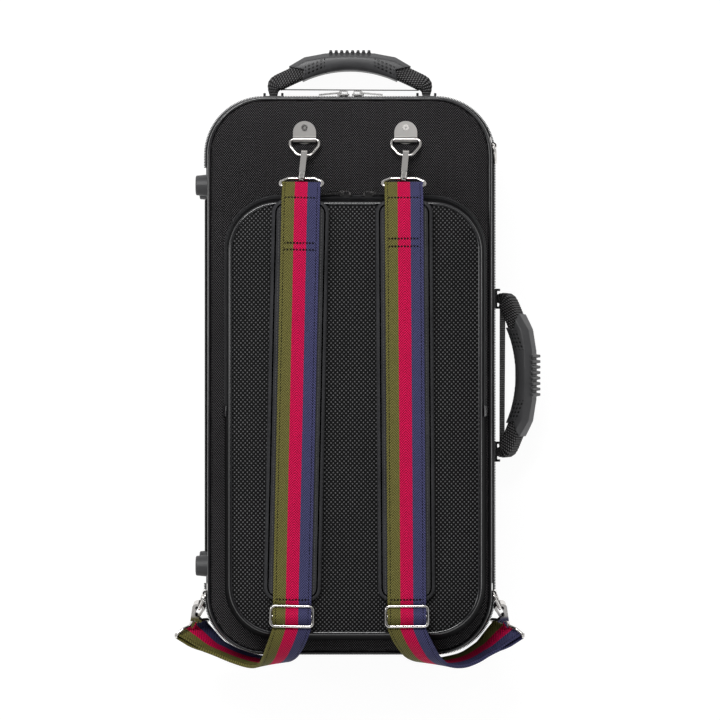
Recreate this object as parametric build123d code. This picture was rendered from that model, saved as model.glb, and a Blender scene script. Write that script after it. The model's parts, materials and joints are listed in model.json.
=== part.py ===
from build123d import *
import math
import os

# Bassoon case lying on its back, straps up, in millimetres.
# X runs across the case, Y towards the top handle, Z up from the surface it rests on.
# The origin is the centre of the base's outer face.

# Shell halves
rim_width = 312.0
rim_length = 602.0
rim_corner = 62.0
face_inset = 7.0
face_width = rim_width - 2 * face_inset
face_length = rim_length - 2 * face_inset
face_corner = 60.0
base_depth = 76.0
lid_depth = 74.0
rim_gap = 0.4
wall = 6.0
edge_drop = 3.0
edge_inset = 5.0
piping_radius = 2.2
lid_bottom = base_depth + rim_gap
lid_top = lid_bottom + lid_depth

# Zip round three sides, and the fabric hinge on the fourth
tape_thickness = 1.2
tape_width = 16.0
teeth_proud = 2.6
teeth_width = 1.6
zip_end = 226.0
band_length = 380.0
band_width = 24.0
band_thickness = 1.6
hinge_offset = 4.0
hinge_x = -rim_width / 2 - hinge_offset
hinge_z = base_depth + rim_gap / 2

# Lining
fit_gap = 0.3
lining_drop = 3.0
pad_under = 8.0
divider = 8.0
long_joint_width = 46.0
long_joint_length = 560.0
wing_joint_width = 54.0
wing_joint_length = 510.0
boot_width = 76.0
boot_length = 455.0
bell_width = 66.0
bell_length = 350.0
compartment_fillet = 10.0
lid_recess_margin = 16.0
lid_recess_depth = 44.0
lid_recess_corner = 40.0

# Rubber feet on the hinge side
foot_from_rim = 37.0
foot_spacing = 408.0
foot_height = 9.0
foot_face = rim_width / 2 + foot_height
foot_base_radius = 12.5
foot_tip_radius = 10.5
foot_edge = 1.5
screw_radius = 1.7
screw_head_radius = 3.6
screw_head_height = 2.2
screw_recess_radius = 4.2
screw_recess_depth = 6.0
screw_bite = 5.0

# Handles
handle_from_floor = 38.0
handle_standoff = 8.0
handle_half_span = 84.0
side_handle_lift = 32.0
knuckle_radius = 5.0
knuckle_half_width = 8.2
pin_radius = 1.75
running_gap = 0.08
side_gap = 0.3
ear_thickness = 2.5
bracket_plate = 3.0
bracket_sink = 2.0
bracket_flange = 3.0
bracket_height = 22.0
core_radial = 15.0
core_width = 19.0
core_corner = 6.0
core_apex = 38.5
core_shoulder = 57.0
core_shoulder_height = 26.3
core_end = 80.0
core_foot_half = 9.0
core_heel = 4.0
core_heel_height = 13.0
core_toe_height = 7.0
core_flare = 11.0
grip_half_width = 13.0
grip_edge = 5.0
grip_under = 29.1
grip_top_height = 48.6
grip_top_points = [(67.8, 33.1), (49.9, 43.8), (27.2, 48.0)]
grip_tip = (52.5, 17.2)
rib_count = 8
rib_pitch = 6.0
rib_width = 3.2
rib_height = 4.0
rib_half_length = 9.0
rib_root = 47.4

# Pocket
pocket_centre = (6.0, -44.5)
pocket_base_width = 277.0
pocket_base_length = 472.0
pocket_base_corner = 58.0
pocket_front_width = 261.0
pocket_front_length = 450.0
pocket_front_corner = 50.0
pocket_depth = 33.0
pocket_crown = 7.0
pocket_crown_inset = 40.0
pocket_wall = 3.0
pocket_zip_height = 8.0
pocket_tape_half = 6.0
pocket_tape_thickness = 1.0
pocket_teeth_proud = 2.0
pocket_teeth_half = 1.2
pocket_zip_end = -31.0
zip_patch_length = 12.0
zip_patch_thickness = 2.4
zip_patch_height = 18.0

# Zip sliders and pull tabs
slider_length = 13.0
slider_width = 9.0
slider_plate = 1.6
slider_lift = 0.3
slider_lip_inner = 2.7
slider_corner = 2.0
bridge_length = 10.0
bridge_width = 3.0
bridge_height = 3.6
bridge_bar = 1.2
tab_length = 24.0
tab_half_width = 3.2
tab_thickness = 1.4
tab_pin_radius = 0.6
tab_arm = 1.0
tab_window = 5.5
tab_heel = 1.0
tab_corner = 0.9
tab_play = 0.3
tab_rise = 0.7
tab_droop = 5.0
zip_meet_x = 1.0
zip_half_pitch = 7.9
pocket_zip_meet_x = 8.0
pocket_zip_half_pitch = 12.0

# Ring plates and D-rings
plate_thickness = 1.2
plate_knuckle = 3.2
ring_wire = 1.6
ring_half_width = 15.4
ring_drop = 17.9
ring_shoulder = 7.0
ring_nose = 7.0
ring_corner = 7.0
face_ring_tilt = 20.0
lower_ring_tilt = 22.0
face_plate_width = 24.4
face_plate_length = 20.0
side_plate_width = 20.0
side_plate_length = 10.0
anchor_y = 249.9
anchor_left_x = -47.7
anchor_right_x = 59.6
rivet_from_bar = 13.0
rivet_radius = 3.4
rivet_height = 1.2
rivet_hole = 1.2
shoulder_ring_from_rim = 36.0
shoulder_ring_y = 246.0
shoulder_ring_tilt = -4.0
lower_ring_from_rim = 50.0
lower_ring_past_foot = 28.0
lower_ring_y = -(foot_spacing / 2 + lower_ring_past_foot)
plate_foot = 2.0

# Snap hooks
hook_inner = 3.6
hook_outer = 6.8
hook_half_thickness = 3.2
hook_seat_gap = 0.4
hook_length = 27.0
gate_half_thickness = 1.9
gate_slot_gap = 0.25
gate_pivot = (17.0, -1.6)
gate_pin_radius = 1.0
gate_pivot_radius = 1.9
mouth_outline = [(1.2, 1.2), (12, 1.2), (12, -12), (1.2, -12)]
shank_outline = [(0, 3.7), (0, 6.8), (22, 4), (22, -4), (13.2, -4), (13.2, 1.6), (5, 1.8)]
gate_outline = [(2.0, -6.3), (1.7, -3.8), (9, -2.4), (17, 0.3), (17, -3.5), (10, -5.0)]
lever_outline = [(15.5, -3.0), (18.5, -2.8), (21.5, -7.5), (18.5, -7.9)]
gate_slot_size = (8.0, 12.0)
gate_slot_place = (16.0, -5.2)
swivel_radius = 4.0
swivel_length = 6.0
swivel_post = 1.7
swivel_post_length = 4.5
swivel_post_head = 2.8
swivel_head_length = 1.5
loop_bar = 38.5
loop_half_width = 22.2
loop_wire = 1.75
loop_neck = 29.3
loop_neck_half_width = 14.0
loop_shoulder = 33.5
loop_corner = 3.0
loop_boss_length = 3.8
loop_play = 0.4
upper_hook_tilt = 33.0
upper_hook_lean = -5.0
lower_hook_tilt = 17.0
lower_hook_pitch = 43.0
lower_hook_seat_gap = 1.1
lower_swivel_turn = 38.0

# Straps
webbing_width = 40.0
webbing_thickness = 1.6
webbing_bore = loop_wire + 0.7
webbing_wrap = 45.0
webbing_end = 13.0
pad_width = 60.0
pad_thickness = 7.0
pad_top_y = 184.0
pad_end_y = -235.0
pad_corner = 14.0
pad_edge = 2.5
strap_end_x = 60.0
buckle_y = -250.6
buckle_width = 43.4
buckle_length = 21.0
buckle_wire = 1.5
buckle_bar = 1.2
buckle_corner = 4.0
buckle_lift = 1.2
buckle_bar_rise = 0.9
tail_thickness = 3.2
tail_gap = 0.6
tail_lead = 5.0
tail_drop = 3.2
tail_sway = {-1: 0.0, 1: 14.0}

# Sections of a strap's tail: outer edge, inner edge and share of the sway
# The first are set from the buckle, the rest from the corner of the case's end at the hinge's height
tail_by_buckle = [
    ((24, -24.9, -7.3), (-15.5, -24.9, -12.8), 0.05),
    ((27.5, -35.4, -12.8), (-10.5, -35.4, -24.3), 0.15),
    ((31, -45.4, -20.8), (-4, -45.9, -40.3), 0.3),
]
tail_by_corner = [
    ((-60.5, -4, 90.8), (-90, -3, 63.8), 0.55),
    ((-54, -9.5, 77.3), (-77, -5.5, 44.8), 0.85),
    ((-43, -10.5, 64.8), (-62.5, -5, 30.3), 1.0),
    ((-27, -6.5, 54.3), (-46, -2.5, 19.8), 0.8),
    ((-8.5, 1, 45.8), (-29.5, 4, 11.8), 0.4),
    ((10, 9, 37.8), (-14, 14, 7.8), 0.1),
]


def group(*shapes):
    return Compound([solid for shape in shapes for solid in shape.solids()])


def rounded(height, width, length, corner, centre=(0.0, 0.0)):
    return Pos(centre[0], centre[1], height) * RectangleRounded(width, length, corner)


def tapered(*sections):
    return loft([rounded(*section) for section in sections], ruled=True)


def cord_round(outline, radius):
    # round cord that follows a closed outline
    path = outline.wires()[0]
    start = Plane(origin=path @ 0, z_dir=path % 0)
    return sweep(start * Circle(radius), path=path)


def prism(points, half_width):
    return extrude(Polygon(*points, align=None), amount=half_width, both=True)


def wall_outline(height, depth, grow=0.0):
    # outline of a half's side wall at a height above its rim
    share = height / (depth - edge_drop)
    width = rim_width + (face_width - rim_width) * share
    length = rim_length + (face_length - rim_length) * share
    corner = rim_corner + (face_corner - rim_corner) * share
    return height, width + 2 * grow, length + 2 * grow, corner + grow


# Shell halves, each made with its rim at Z 0 and its face upwards
def outer_half(depth):
    face = (depth, face_width - 2 * edge_inset, face_length - 2 * edge_inset, face_corner - edge_inset)
    return tapered(wall_outline(0, depth), wall_outline(depth - edge_drop, depth), face)


def edge_piping(depth, radius=piping_radius):
    return cord_round(rounded(depth - edge_drop, face_width, face_length, face_corner), radius)


def shell_half(depth):
    cavity = tapered(wall_outline(-1, depth, -wall), wall_outline(depth - wall, depth, -wall))
    shell = outer_half(depth) - cavity - edge_piping(depth)
    for hole in foot_screw_holes(depth):
        shell = shell - hole
    return shell


def side_band(depth, low, high, thickness):
    ring = tapered(wall_outline(low, depth, thickness), wall_outline(high, depth, thickness))
    return ring - outer_half(depth)


def hinge_side(half_length):
    # block over the hinge side's wall, as long as the stretch that it takes
    return Pos(-rim_width / 2, 0, 0) * Box(rim_width / 2, 2 * half_length, 4 * tape_width)


def zip_tape(depth):
    return side_band(depth, teeth_width, tape_width, tape_thickness) - hinge_side(zip_end)


def zip_teeth(depth):
    return side_band(depth, 0, teeth_width, teeth_proud) - hinge_side(zip_end)


def hinge_band(depth):
    return side_band(depth, 0, band_width, band_thickness) & hinge_side(band_length / 2)


def lining_block(depth):
    top = wall_outline(lining_drop, depth, -wall - fit_gap)
    floor = wall_outline(depth - wall, depth, -wall - fit_gap)
    return tapered(top, floor)


# Feet on the hinge side's wall
def foot_places():
    return [Pos(0, side * foot_spacing / 2, foot_from_rim) * Rot(0, -90, 0) for side in (1, -1)]


def foot_wall_x(depth):
    return wall_outline(foot_from_rim, depth)[1] / 2


def foot_screw_holes(depth):
    reach = foot_wall_x(depth) - screw_bite
    length = foot_face - reach
    hole = Pos(0, 0, reach + length / 2) * Cylinder(screw_radius, length)
    return [place * hole for place in foot_places()]


def feet(depth):
    base = Pos(0, 0, rim_width / 2 - 2 * wall) * Circle(foot_base_radius)
    tip = Pos(0, 0, foot_face) * Circle(foot_tip_radius)
    foot = loft([base, tip])
    foot = fillet(foot.edges().sort_by(Axis.Z)[-1], foot_edge)
    recess = Cylinder(screw_recess_radius, screw_recess_depth, align=(Align.CENTER, Align.CENTER, Align.MAX))
    foot = foot - Pos(0, 0, foot_face) * recess
    holes = foot_screw_holes(depth)
    return [place * foot - outer_half(depth) - hole for place, hole in zip(foot_places(), holes)]


def foot_screws(depth):
    reach = foot_wall_x(depth) - screw_bite
    seat = foot_face - screw_recess_depth
    shank = Pos(0, 0, (reach + seat) / 2) * Cylinder(screw_radius, seat - reach)
    head = Pos(0, 0, seat + screw_head_height / 2) * Cylinder(screw_head_radius, screw_head_height)
    slot = Pos(0, 0, seat + screw_head_height) * Box(2 * screw_head_radius, 1, 2)
    screw = shank + head - slot
    return [place * screw for place in foot_places()]


# Base lining with its compartments
def compartment(x_low, x_high, y_low, y_high, corner):
    floor = wall + pad_under
    centre = ((x_low + x_high) / 2, (y_low + y_high) / 2)
    outline = rounded(floor, x_high - x_low, y_high - y_low, corner, centre)
    space = extrude(outline, amount=base_depth)
    return fillet(space.edges().group_by(Axis.Z)[0], compartment_fillet)


def compartments():
    # long joint, wing joint, boot and reeds, bell and crook, from the hinge side across
    widths = (long_joint_width, wing_joint_width, boot_width, bell_width)
    total = sum(widths) + 3 * divider
    x_long = -total / 2
    x_wing = x_long + long_joint_width + divider
    x_boot = x_wing + wing_joint_width + divider
    x_bell = x_boot + boot_width + divider
    y_top = long_joint_length / 2
    y_boot = y_top - boot_length
    y_bell = y_top - bell_length
    return [
        compartment(x_long, x_long + long_joint_width, -y_top, y_top, long_joint_width / 2 - 0.5),
        compartment(x_wing, x_wing + wing_joint_width, y_top - wing_joint_length, y_top, 24),
        compartment(x_boot, x_boot + boot_width, y_boot, y_top, 26),
        compartment(x_boot, x_boot + boot_width, -y_top, y_boot - divider, 20),
        compartment(x_bell, x_bell + bell_width, y_bell, y_top, 30),
        compartment(x_bell, x_bell + bell_width, -y_top, y_bell - divider, 30),
    ]


def base_lining():
    lining = to_base(lining_block(base_depth))
    for space in compartments():
        lining = lining - space
    return lining


def lid_lining():
    margin = wall + lid_recess_margin
    recess_outline = rounded(-1, rim_width - 2 * margin, rim_length - 2 * margin, lid_recess_corner)
    recess = extrude(recess_outline, amount=lid_recess_depth + 1)
    recess = fillet(recess.edges().group_by(Axis.Z)[-1], compartment_fillet)
    return lining_block(lid_depth) - recess


def to_base(shape):
    return Pos(0, 0, base_depth) * Rot(180, 0, 0) * shape


def to_lid(shape):
    return Pos(0, 0, lid_bottom) * shape


# Handles, made with the swing axis along X and the arch rising along Y
def handle_slope():
    # slope of the webbing where its arch ends
    rise = core_apex - core_shoulder_height
    radius = (core_shoulder**2 + rise**2) / (2 * rise)
    return core_shoulder / (radius - rise)


def core_route():
    low = core_shoulder_height - handle_slope() * (core_end - core_shoulder)
    left_shoulder = (-core_shoulder, core_shoulder_height)
    right_shoulder = (core_shoulder, core_shoulder_height)
    left = Line((-core_end, low), left_shoulder)
    arch = ThreePointArc(left_shoulder, (0, core_apex), right_shoulder)
    right = Line(right_shoulder, (core_end, low))
    return Wire([left, arch, right])


def handle_tube(radial, width, corner):
    route = core_route()
    start = Plane(origin=route @ 0, x_dir=(0, 0, 1), z_dir=route % 0)
    return sweep(start * RectangleRounded(width, radial, corner), path=route)


def core_foot(side):
    # the webbing narrows to the knuckle that turns on the bracket's pin
    slope = handle_slope()
    low = core_shoulder_height - slope * (core_end - core_shoulder)
    across = Vector(slope, 1).normalized() * core_radial / 2
    left = handle_half_span - knuckle_half_width
    right = handle_half_span + knuckle_half_width
    outline = [(core_end - across.X, low - across.Y), (core_end + across.X, low + across.Y)]
    outline = outline + [(right - core_heel, low + knuckle_radius), (right, core_heel_height)]
    outline = outline + [(right, 0), (left, 0), (left, core_toe_height)]
    foot = prism([(side * x, y) for x, y in outline], core_foot_half)
    flare = [(0, -knuckle_radius), (core_flare, -core_foot_half), (core_apex, -core_foot_half)]
    flare = flare + [(y, -z) for y, z in reversed(flare)]
    taper = Rot(0, 90, 0) * Rot(0, 0, 90) * prism(flare, 2 * handle_half_span)
    knuckle = Rot(0, 90, 0) * Cylinder(knuckle_radius, 2 * knuckle_half_width)
    return (foot & taper) + Pos(side * handle_half_span, 0, 0) * knuckle


def handle_core():
    core = handle_tube(core_radial, core_width, core_corner)
    for side in (1, -1):
        bore = Rot(0, 90, 0) * Cylinder(pin_radius + running_gap, 3 * knuckle_half_width)
        core = core + core_foot(side)
        core = core - Pos(side * handle_half_span, 0, 0) * bore
    return core


def handle_grip():
    mirrored = [(-x, y) for x, y in reversed(grip_top_points)]
    top = Polyline(*grip_top_points, (0, grip_top_height), *mirrored)
    throat = (grip_top_points[1][0], grip_under)
    right_end = Polyline(grip_tip, throat, grip_top_points[0])
    left_tip = (-grip_tip[0], grip_tip[1])
    left_end = Polyline(mirrored[-1], (-throat[0], throat[1]), left_tip)
    under = ThreePointArc(left_tip, (0, grip_under), grip_tip)
    profile = make_face(Wire([*top.edges(), *left_end.edges(), under, *right_end.edges()]))
    grip = extrude(profile, amount=grip_half_width, both=True)
    upper = [edge for edge in grip.edges() if edge.center().Y > grip_top_points[0][1]]
    outer = [edge for edge in upper if abs(edge.center().Z) > grip_half_width / 2]
    return chamfer(outer, grip_edge)


def grip_ribs():
    ribs = []
    for index in range(rib_count):
        offset = (index - (rib_count - 1) / 2) * rib_pitch
        rib = Box(rib_width, rib_height, 2 * rib_half_length)
        ribs.append(Pos(offset, rib_root + rib_height / 2, 0) * rib)
    return ribs


def whole_grip():
    grip = handle_grip()
    for rib in grip_ribs():
        grip = grip + rib
    return grip - handle_core()


def top_handle_place():
    wall_y = wall_outline(base_depth - handle_from_floor, base_depth)[2] / 2
    return Pos(0, wall_y + handle_standoff, handle_from_floor)


def side_handle_place():
    wall_x = wall_outline(base_depth - handle_from_floor, base_depth)[1] / 2
    return Pos(wall_x + handle_standoff, 0, handle_from_floor) * Rot(0, 0, -90)


def handle_brackets(place):
    # a plate against the wall with two ears for the pin, at each end of the handle
    inner = knuckle_half_width + side_gap
    outer = inner + ear_thickness
    plate = Box(2 * (outer + bracket_flange), 2 * (bracket_plate + bracket_sink), bracket_height)
    plate = Pos(0, -handle_standoff - bracket_sink, 0) * plate
    ear = Pos(0, -handle_standoff / 2, 0) * Box(ear_thickness, handle_standoff, 2 * knuckle_radius)
    ear = ear + Rot(0, 90, 0) * Cylinder(knuckle_radius, ear_thickness)
    bracket = plate
    for side in (1, -1):
        bracket = bracket + Pos(side * (inner + ear_thickness / 2), 0, 0) * ear
    bracket = bracket - Rot(0, 90, 0) * Cylinder(pin_radius, 3 * outer)
    shell = to_base(outer_half(base_depth))
    return [place * Pos(side * handle_half_span, 0, 0) * bracket - shell for side in (1, -1)]


def handle_pins(place):
    length = 2 * (knuckle_half_width + side_gap + ear_thickness)
    pin = Rot(0, 90, 0) * Cylinder(pin_radius, length)
    return [place * Pos(side * handle_half_span, 0, 0) * pin for side in (1, -1)]


# Pocket, made with the lid's face at Z 0
def pocket_outline(height, grow=0.0):
    share = height / pocket_depth
    width = pocket_base_width + (pocket_front_width - pocket_base_width) * share
    length = pocket_base_length + (pocket_front_length - pocket_base_length) * share
    corner = pocket_base_corner + (pocket_front_corner - pocket_base_corner) * share
    return height, width + 2 * grow, length + 2 * grow, corner + grow, pocket_centre


def pocket_piping():
    return cord_round(rounded(*pocket_outline(pocket_depth)), piping_radius)


def pocket_gusset():
    outer = tapered(pocket_outline(0), pocket_outline(pocket_depth))
    inner = tapered(pocket_outline(-1, -pocket_wall), pocket_outline(pocket_depth + 1, -pocket_wall))
    return outer - inner - pocket_piping()


def crowned_panel(thickness):
    edge = pocket_outline(pocket_depth, -thickness)
    inset = 2 * pocket_crown_inset
    top = (
        pocket_depth + pocket_crown - thickness,
        pocket_front_width - inset,
        pocket_front_length - inset,
        pocket_front_corner / 2,
        pocket_centre,
    )
    return tapered(edge, top)


def pocket_panel():
    return crowned_panel(0) - crowned_panel(pocket_wall) - pocket_piping()


def pocket_band(low, high, thickness):
    ring = tapered(pocket_outline(low, thickness), pocket_outline(high, thickness))
    body = tapered(pocket_outline(0), pocket_outline(pocket_depth))
    return ring - body


def pocket_stretch(y_high, length):
    # block over the whole pocket's width, down from a place along it
    return Pos(0, y_high - length / 2, 0) * Box(2 * rim_width, length, 4 * pocket_depth)


def pocket_zip_band(half_height, thickness):
    return pocket_band(pocket_zip_height - half_height, pocket_zip_height + half_height, thickness)


def pocket_zip():
    tape = pocket_zip_band(pocket_tape_half, pocket_tape_thickness)
    teeth = pocket_zip_band(pocket_teeth_half, pocket_teeth_proud)
    return (tape + teeth) - pocket_stretch(pocket_zip_end, pocket_base_length)


def pocket_zip_patches():
    band = pocket_band(0, zip_patch_height, zip_patch_thickness)
    return band & pocket_stretch(pocket_zip_end, zip_patch_length)


def to_face(shape):
    return Pos(0, 0, lid_top) * shape


# Zip sliders, made with the slide along X and the surface of the tape's base at Z 0
def slider(proud, tape, lips):
    low = proud + slider_lift
    outline = RectangleRounded(slider_length, slider_width, slider_corner)
    plate = Pos(0, 0, low) * extrude(outline, amount=slider_plate)
    arch = Box(bridge_length, bridge_width, bridge_height)
    arch = Pos(0, 0, low + slider_plate + bridge_height / 2) * arch
    arch = fillet(arch.edges().filter_by(Axis.Y).group_by(Axis.Z)[-1], bridge_height / 2)
    window_height = bridge_height - bridge_bar
    window = Box(bridge_length - 2 * bridge_bar, 2 * bridge_width, window_height)
    body = plate + arch - Pos(0, 0, low + slider_plate + window_height / 2) * window
    lip_low = tape + slider_lift
    lip_high = low + slider_plate / 2
    lip_width = slider_width / 2 - slider_lip_inner
    for side in lips:
        lip = Box(slider_length - 2 * slider_corner, lip_width, lip_high - lip_low)
        lip_y = side * (slider_lip_inner + lip_width / 2)
        body = body + Pos(0, lip_y, (lip_high + lip_low) / 2) * lip
    return body


def pull_pivot(direction, proud):
    x = direction * (bridge_length / 2 - bridge_bar - tab_pin_radius - tab_play)
    return x, proud + slider_lift + slider_plate + tab_pin_radius + tab_rise


def pull_tab(direction, proud):
    x, height = pull_pivot(direction, proud)
    outline = RectangleRounded(tab_length + tab_heel, 2 * tab_half_width, tab_corner)
    blade = extrude(outline, amount=tab_thickness)
    blade = Pos((tab_length - tab_heel) / 2, 0, -tab_thickness / 2) * blade
    window = Box(2 * tab_window, 2 * (tab_half_width - tab_arm), 2 * tab_thickness)
    blade = blade - window
    blade = blade + Rot(90, 0, 0) * Cylinder(tab_pin_radius, 2 * tab_half_width)
    turn = Rot(0, tab_droop, 0)
    if direction < 0:
        turn = Rot(0, 0, 180) * turn
    return Pos(x, 0, height) * turn * blade


def main_zip_place(x):
    place = Plane(origin=(x, rim_length / 2, base_depth + rim_gap / 2), x_dir=(1, 0, 0), z_dir=(0, 1, 0))
    return place.location


def pocket_zip_place(x):
    rise = (pocket_base_length - pocket_front_length) / 2
    tilt = math.atan(rise / pocket_depth)
    y = pocket_centre[1] + pocket_outline(pocket_zip_height)[2] / 2
    normal = (0, math.cos(tilt), math.sin(tilt))
    place = Plane(origin=(x, y, lid_top + pocket_zip_height), x_dir=(1, 0, 0), z_dir=normal)
    return place.location


# Ring plates, made with X along the ring, Y outwards and Z along the ring's bar
def ring_plate(width, length, dome):
    back = Pos(-length / 2, plate_thickness / 2, 0) * Box(length, plate_thickness, width)
    if dome:
        radius = width / 2
        straight = length - radius
        back = Pos(-straight / 2, plate_thickness / 2, 0) * Box(straight, plate_thickness, width)
        disc = Rot(90, 0, 0) * Cylinder(radius, plate_thickness)
        back = back + Pos(-straight, plate_thickness / 2, 0) * disc
    roll = Pos(0, plate_knuckle, 0) * Cylinder(plate_knuckle, width)
    fill = Pos(-plate_knuckle / 2, plate_knuckle / 2, 0) * Box(plate_knuckle, plate_knuckle, width)
    bore = Pos(0, plate_knuckle, 0) * Cylinder(ring_wire + running_gap, width + 2)
    return back + roll + fill - bore


def d_ring(tilt):
    side = ring_half_width
    shoulder = ring_shoulder
    points = [(0, -side), (0, side), (shoulder, side), (ring_drop, ring_nose)]
    points = points + [(ring_drop, -ring_nose), (shoulder, -side)]
    radii = [ring_corner / 2] * 2 + [ring_corner] * 4
    path = FilletPolyline(*[(x, 0, z) for x, z in points], radius=radii, close=True)
    start = Plane(origin=path @ 0, z_dir=path % 0)
    ring = sweep(start * Circle(ring_wire), path=path)
    return Pos(0, plate_knuckle, 0) * Rot(0, 0, tilt) * ring


def face_ring_place(x):
    return Plane(origin=(x, anchor_y, lid_top), x_dir=(0, -1, 0), z_dir=(-1, 0, 0)).location


def side_ring_place(side, y, from_rim):
    # flat on the lid's sloping side wall, turned with the wall where the corner has begun
    height, width, length, corner = wall_outline(from_rim, lid_depth)
    past = max(abs(y) - (length / 2 - corner), 0)
    turn = math.asin(past / corner)
    x = width / 2 - corner * (1 - math.cos(turn))
    draft = (rim_width - face_width) / 2 / (lid_depth - edge_drop)
    down = Vector(side * math.sin(turn), -math.cos(turn), 0)
    up = Vector(-side * draft * math.cos(turn), -draft * math.sin(turn), 1).normalized()
    place = Plane(origin=(side * x, y, lid_bottom + height), x_dir=down, z_dir=up * side)
    return place.location


def shoulder_ring_place():
    return side_ring_place(1, shoulder_ring_y, shoulder_ring_from_rim)


def lower_ring_place(side):
    return side_ring_place(side, lower_ring_y, lower_ring_from_rim)


def wall_plate(place):
    foot = Box(side_plate_length, plate_foot, side_plate_width)
    foot = Pos(-side_plate_length / 2, -plate_foot / 2, 0) * foot
    plate = ring_plate(side_plate_width, side_plate_length, False) + foot
    return place * plate - to_lid(outer_half(lid_depth))


def face_rivet():
    rivet = Cylinder(rivet_radius, rivet_height) - Cylinder(rivet_hole, 2 * rivet_height)
    return Pos(-rivet_from_bar, plate_thickness + rivet_height / 2, 0) * Rot(90, 0, 0) * rivet


# Snap hooks, made with X from the ring towards the strap and Z along the ring's wire
def hook_place(ring_place, tilt, hook_tilt, lean=0.0):
    seat = hook_inner - ring_wire - hook_seat_gap
    wire = Pos(0, plate_knuckle, 0) * Rot(0, 0, tilt) * Pos(ring_drop, 0, 0)
    return ring_place * wire * Rot(0, 0, hook_tilt - tilt) * Rot(0, lean, 0) * Pos(seat, 0, 0)


def upper_hook_place(x):
    return hook_place(face_ring_place(x), face_ring_tilt, upper_hook_tilt, upper_hook_lean)


def upper_loop_place(x):
    # the loop hangs level although the hook leans
    return upper_hook_place(x) * Pos(loop_neck, 0, 0) * Rot(0, -upper_hook_lean, 0) * Pos(-loop_neck, 0, 0)


def lower_hook_place(side):
    # the hook hangs from the rounded lower corner of its D-ring
    seat = hook_inner - ring_wire - lower_hook_seat_gap
    rounding = ring_corner
    flat = ring_corner * math.tan(math.atan2(ring_drop - ring_shoulder, ring_half_width - ring_nose) / 2)
    ring = lower_ring_place(side) * Pos(0, plate_knuckle, 0) * Rot(0, 0, lower_ring_tilt)
    corner = ring * Pos(ring_drop - rounding, 0, -side * (ring_nose - flat))
    pitched = corner * Rot(0, side * lower_hook_pitch, 0) * Pos(rounding, 0, 0)
    return pitched * Rot(0, 0, lower_hook_tilt - lower_ring_tilt) * Pos(seat, 0, 0)


def lower_loop_place(side):
    return lower_hook_place(side) * Rot(-side * lower_swivel_turn, 0, 0)


def hook_body():
    eye = Cylinder(hook_outer, 2 * hook_half_thickness) - Cylinder(hook_inner, 3 * hook_half_thickness)
    body = eye - prism(mouth_outline, 2 * hook_half_thickness)
    body = body + prism(shank_outline, hook_half_thickness)
    along = hook_length - swivel_length
    for radius, length in (
        (swivel_radius, swivel_length),
        (swivel_post, swivel_post_length),
        (swivel_post_head, swivel_head_length),
    ):
        body = body + Pos(along + length / 2, 0, 0) * Rot(0, 90, 0) * Cylinder(radius, length)
        along = along + length
    slot = Box(*gate_slot_size, 2 * (gate_half_thickness + gate_slot_gap))
    pin = Pos(*gate_pivot) * Cylinder(gate_pin_radius, 2 * hook_half_thickness)
    return body - Pos(*gate_slot_place) * slot + pin


def hook_gate():
    arm = prism(gate_outline, gate_half_thickness)
    lever = prism(lever_outline, gate_half_thickness)
    pivot = Pos(*gate_pivot) * Cylinder(gate_pivot_radius, 2 * gate_half_thickness)
    bore = Pos(*gate_pivot) * Cylinder(gate_pin_radius + running_gap, 3 * gate_half_thickness)
    return arm + lever + pivot - bore


def strap_loop():
    side = loop_half_width
    neck = loop_neck_half_width
    half = [(loop_bar, side), (loop_shoulder, side), (loop_neck, neck)]
    mirrored = [(x, -z) for x, z in reversed(half)]
    path = FilletPolyline(*[(x, 0, z) for x, z in half + mirrored], radius=loop_corner, close=True)
    start = Plane(origin=path @ 0, z_dir=path % 0)
    ring = sweep(start * Circle(loop_wire), path=path)
    boss = Pos(loop_neck, 0, 0) * Rot(0, 90, 0) * Cylinder(swivel_radius, loop_boss_length)
    bore = Pos(loop_neck, 0, 0) * Rot(0, 90, 0) * Cylinder(swivel_post + loop_play, 3 * loop_boss_length)
    return ring + boss - bore


# Straps
def upper_bar(side):
    x = anchor_right_x if side > 0 else anchor_left_x
    return (upper_loop_place(x) * Pos(loop_bar, 0, 0)).position


def strap_place(side):
    # the straps lean outwards a little from their top loops to their buckles
    bar = upper_bar(side)
    lean = math.degrees(math.atan2(side * strap_end_x - bar.X, bar.Y - buckle_y))
    return Pos(bar.X, bar.Y, 0) * Rot(0, 0, lean) * Pos(0, -bar.Y, 0)


def panel_top():
    return lid_top + pocket_depth + pocket_crown


def strap_top():
    # middle of the webbing where it lies on the pad
    return panel_top() + 2 * fit_gap + pad_thickness + webbing_thickness / 2


def strap_pad(side):
    length = pad_top_y - pad_end_y
    outline = RectangleRounded(pad_width, length, pad_corner)
    pad = extrude(outline, amount=pad_thickness)
    pad = chamfer(pad.edges().group_by(Axis.Z)[-1], pad_edge)
    return strap_place(side) * Pos(0, (pad_top_y + pad_end_y) / 2, panel_top() + fit_gap) * pad


def ribbon_face(route, thickness):
    # closed outline of a strip of even thickness about a route in a plane
    upper = []
    lower = []
    for index, (u, v) in enumerate(route):
        before = route[max(index - 1, 0)]
        after = route[min(index + 1, len(route) - 1)]
        along = Vector(after[0] - before[0], after[1] - before[1]).normalized()
        upper.append((u - along.Y * thickness / 2, v + along.X * thickness / 2))
        lower.append((u + along.Y * thickness / 2, v - along.X * thickness / 2))
    return Polygon(*(upper + lower[::-1]), align=None)


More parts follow.
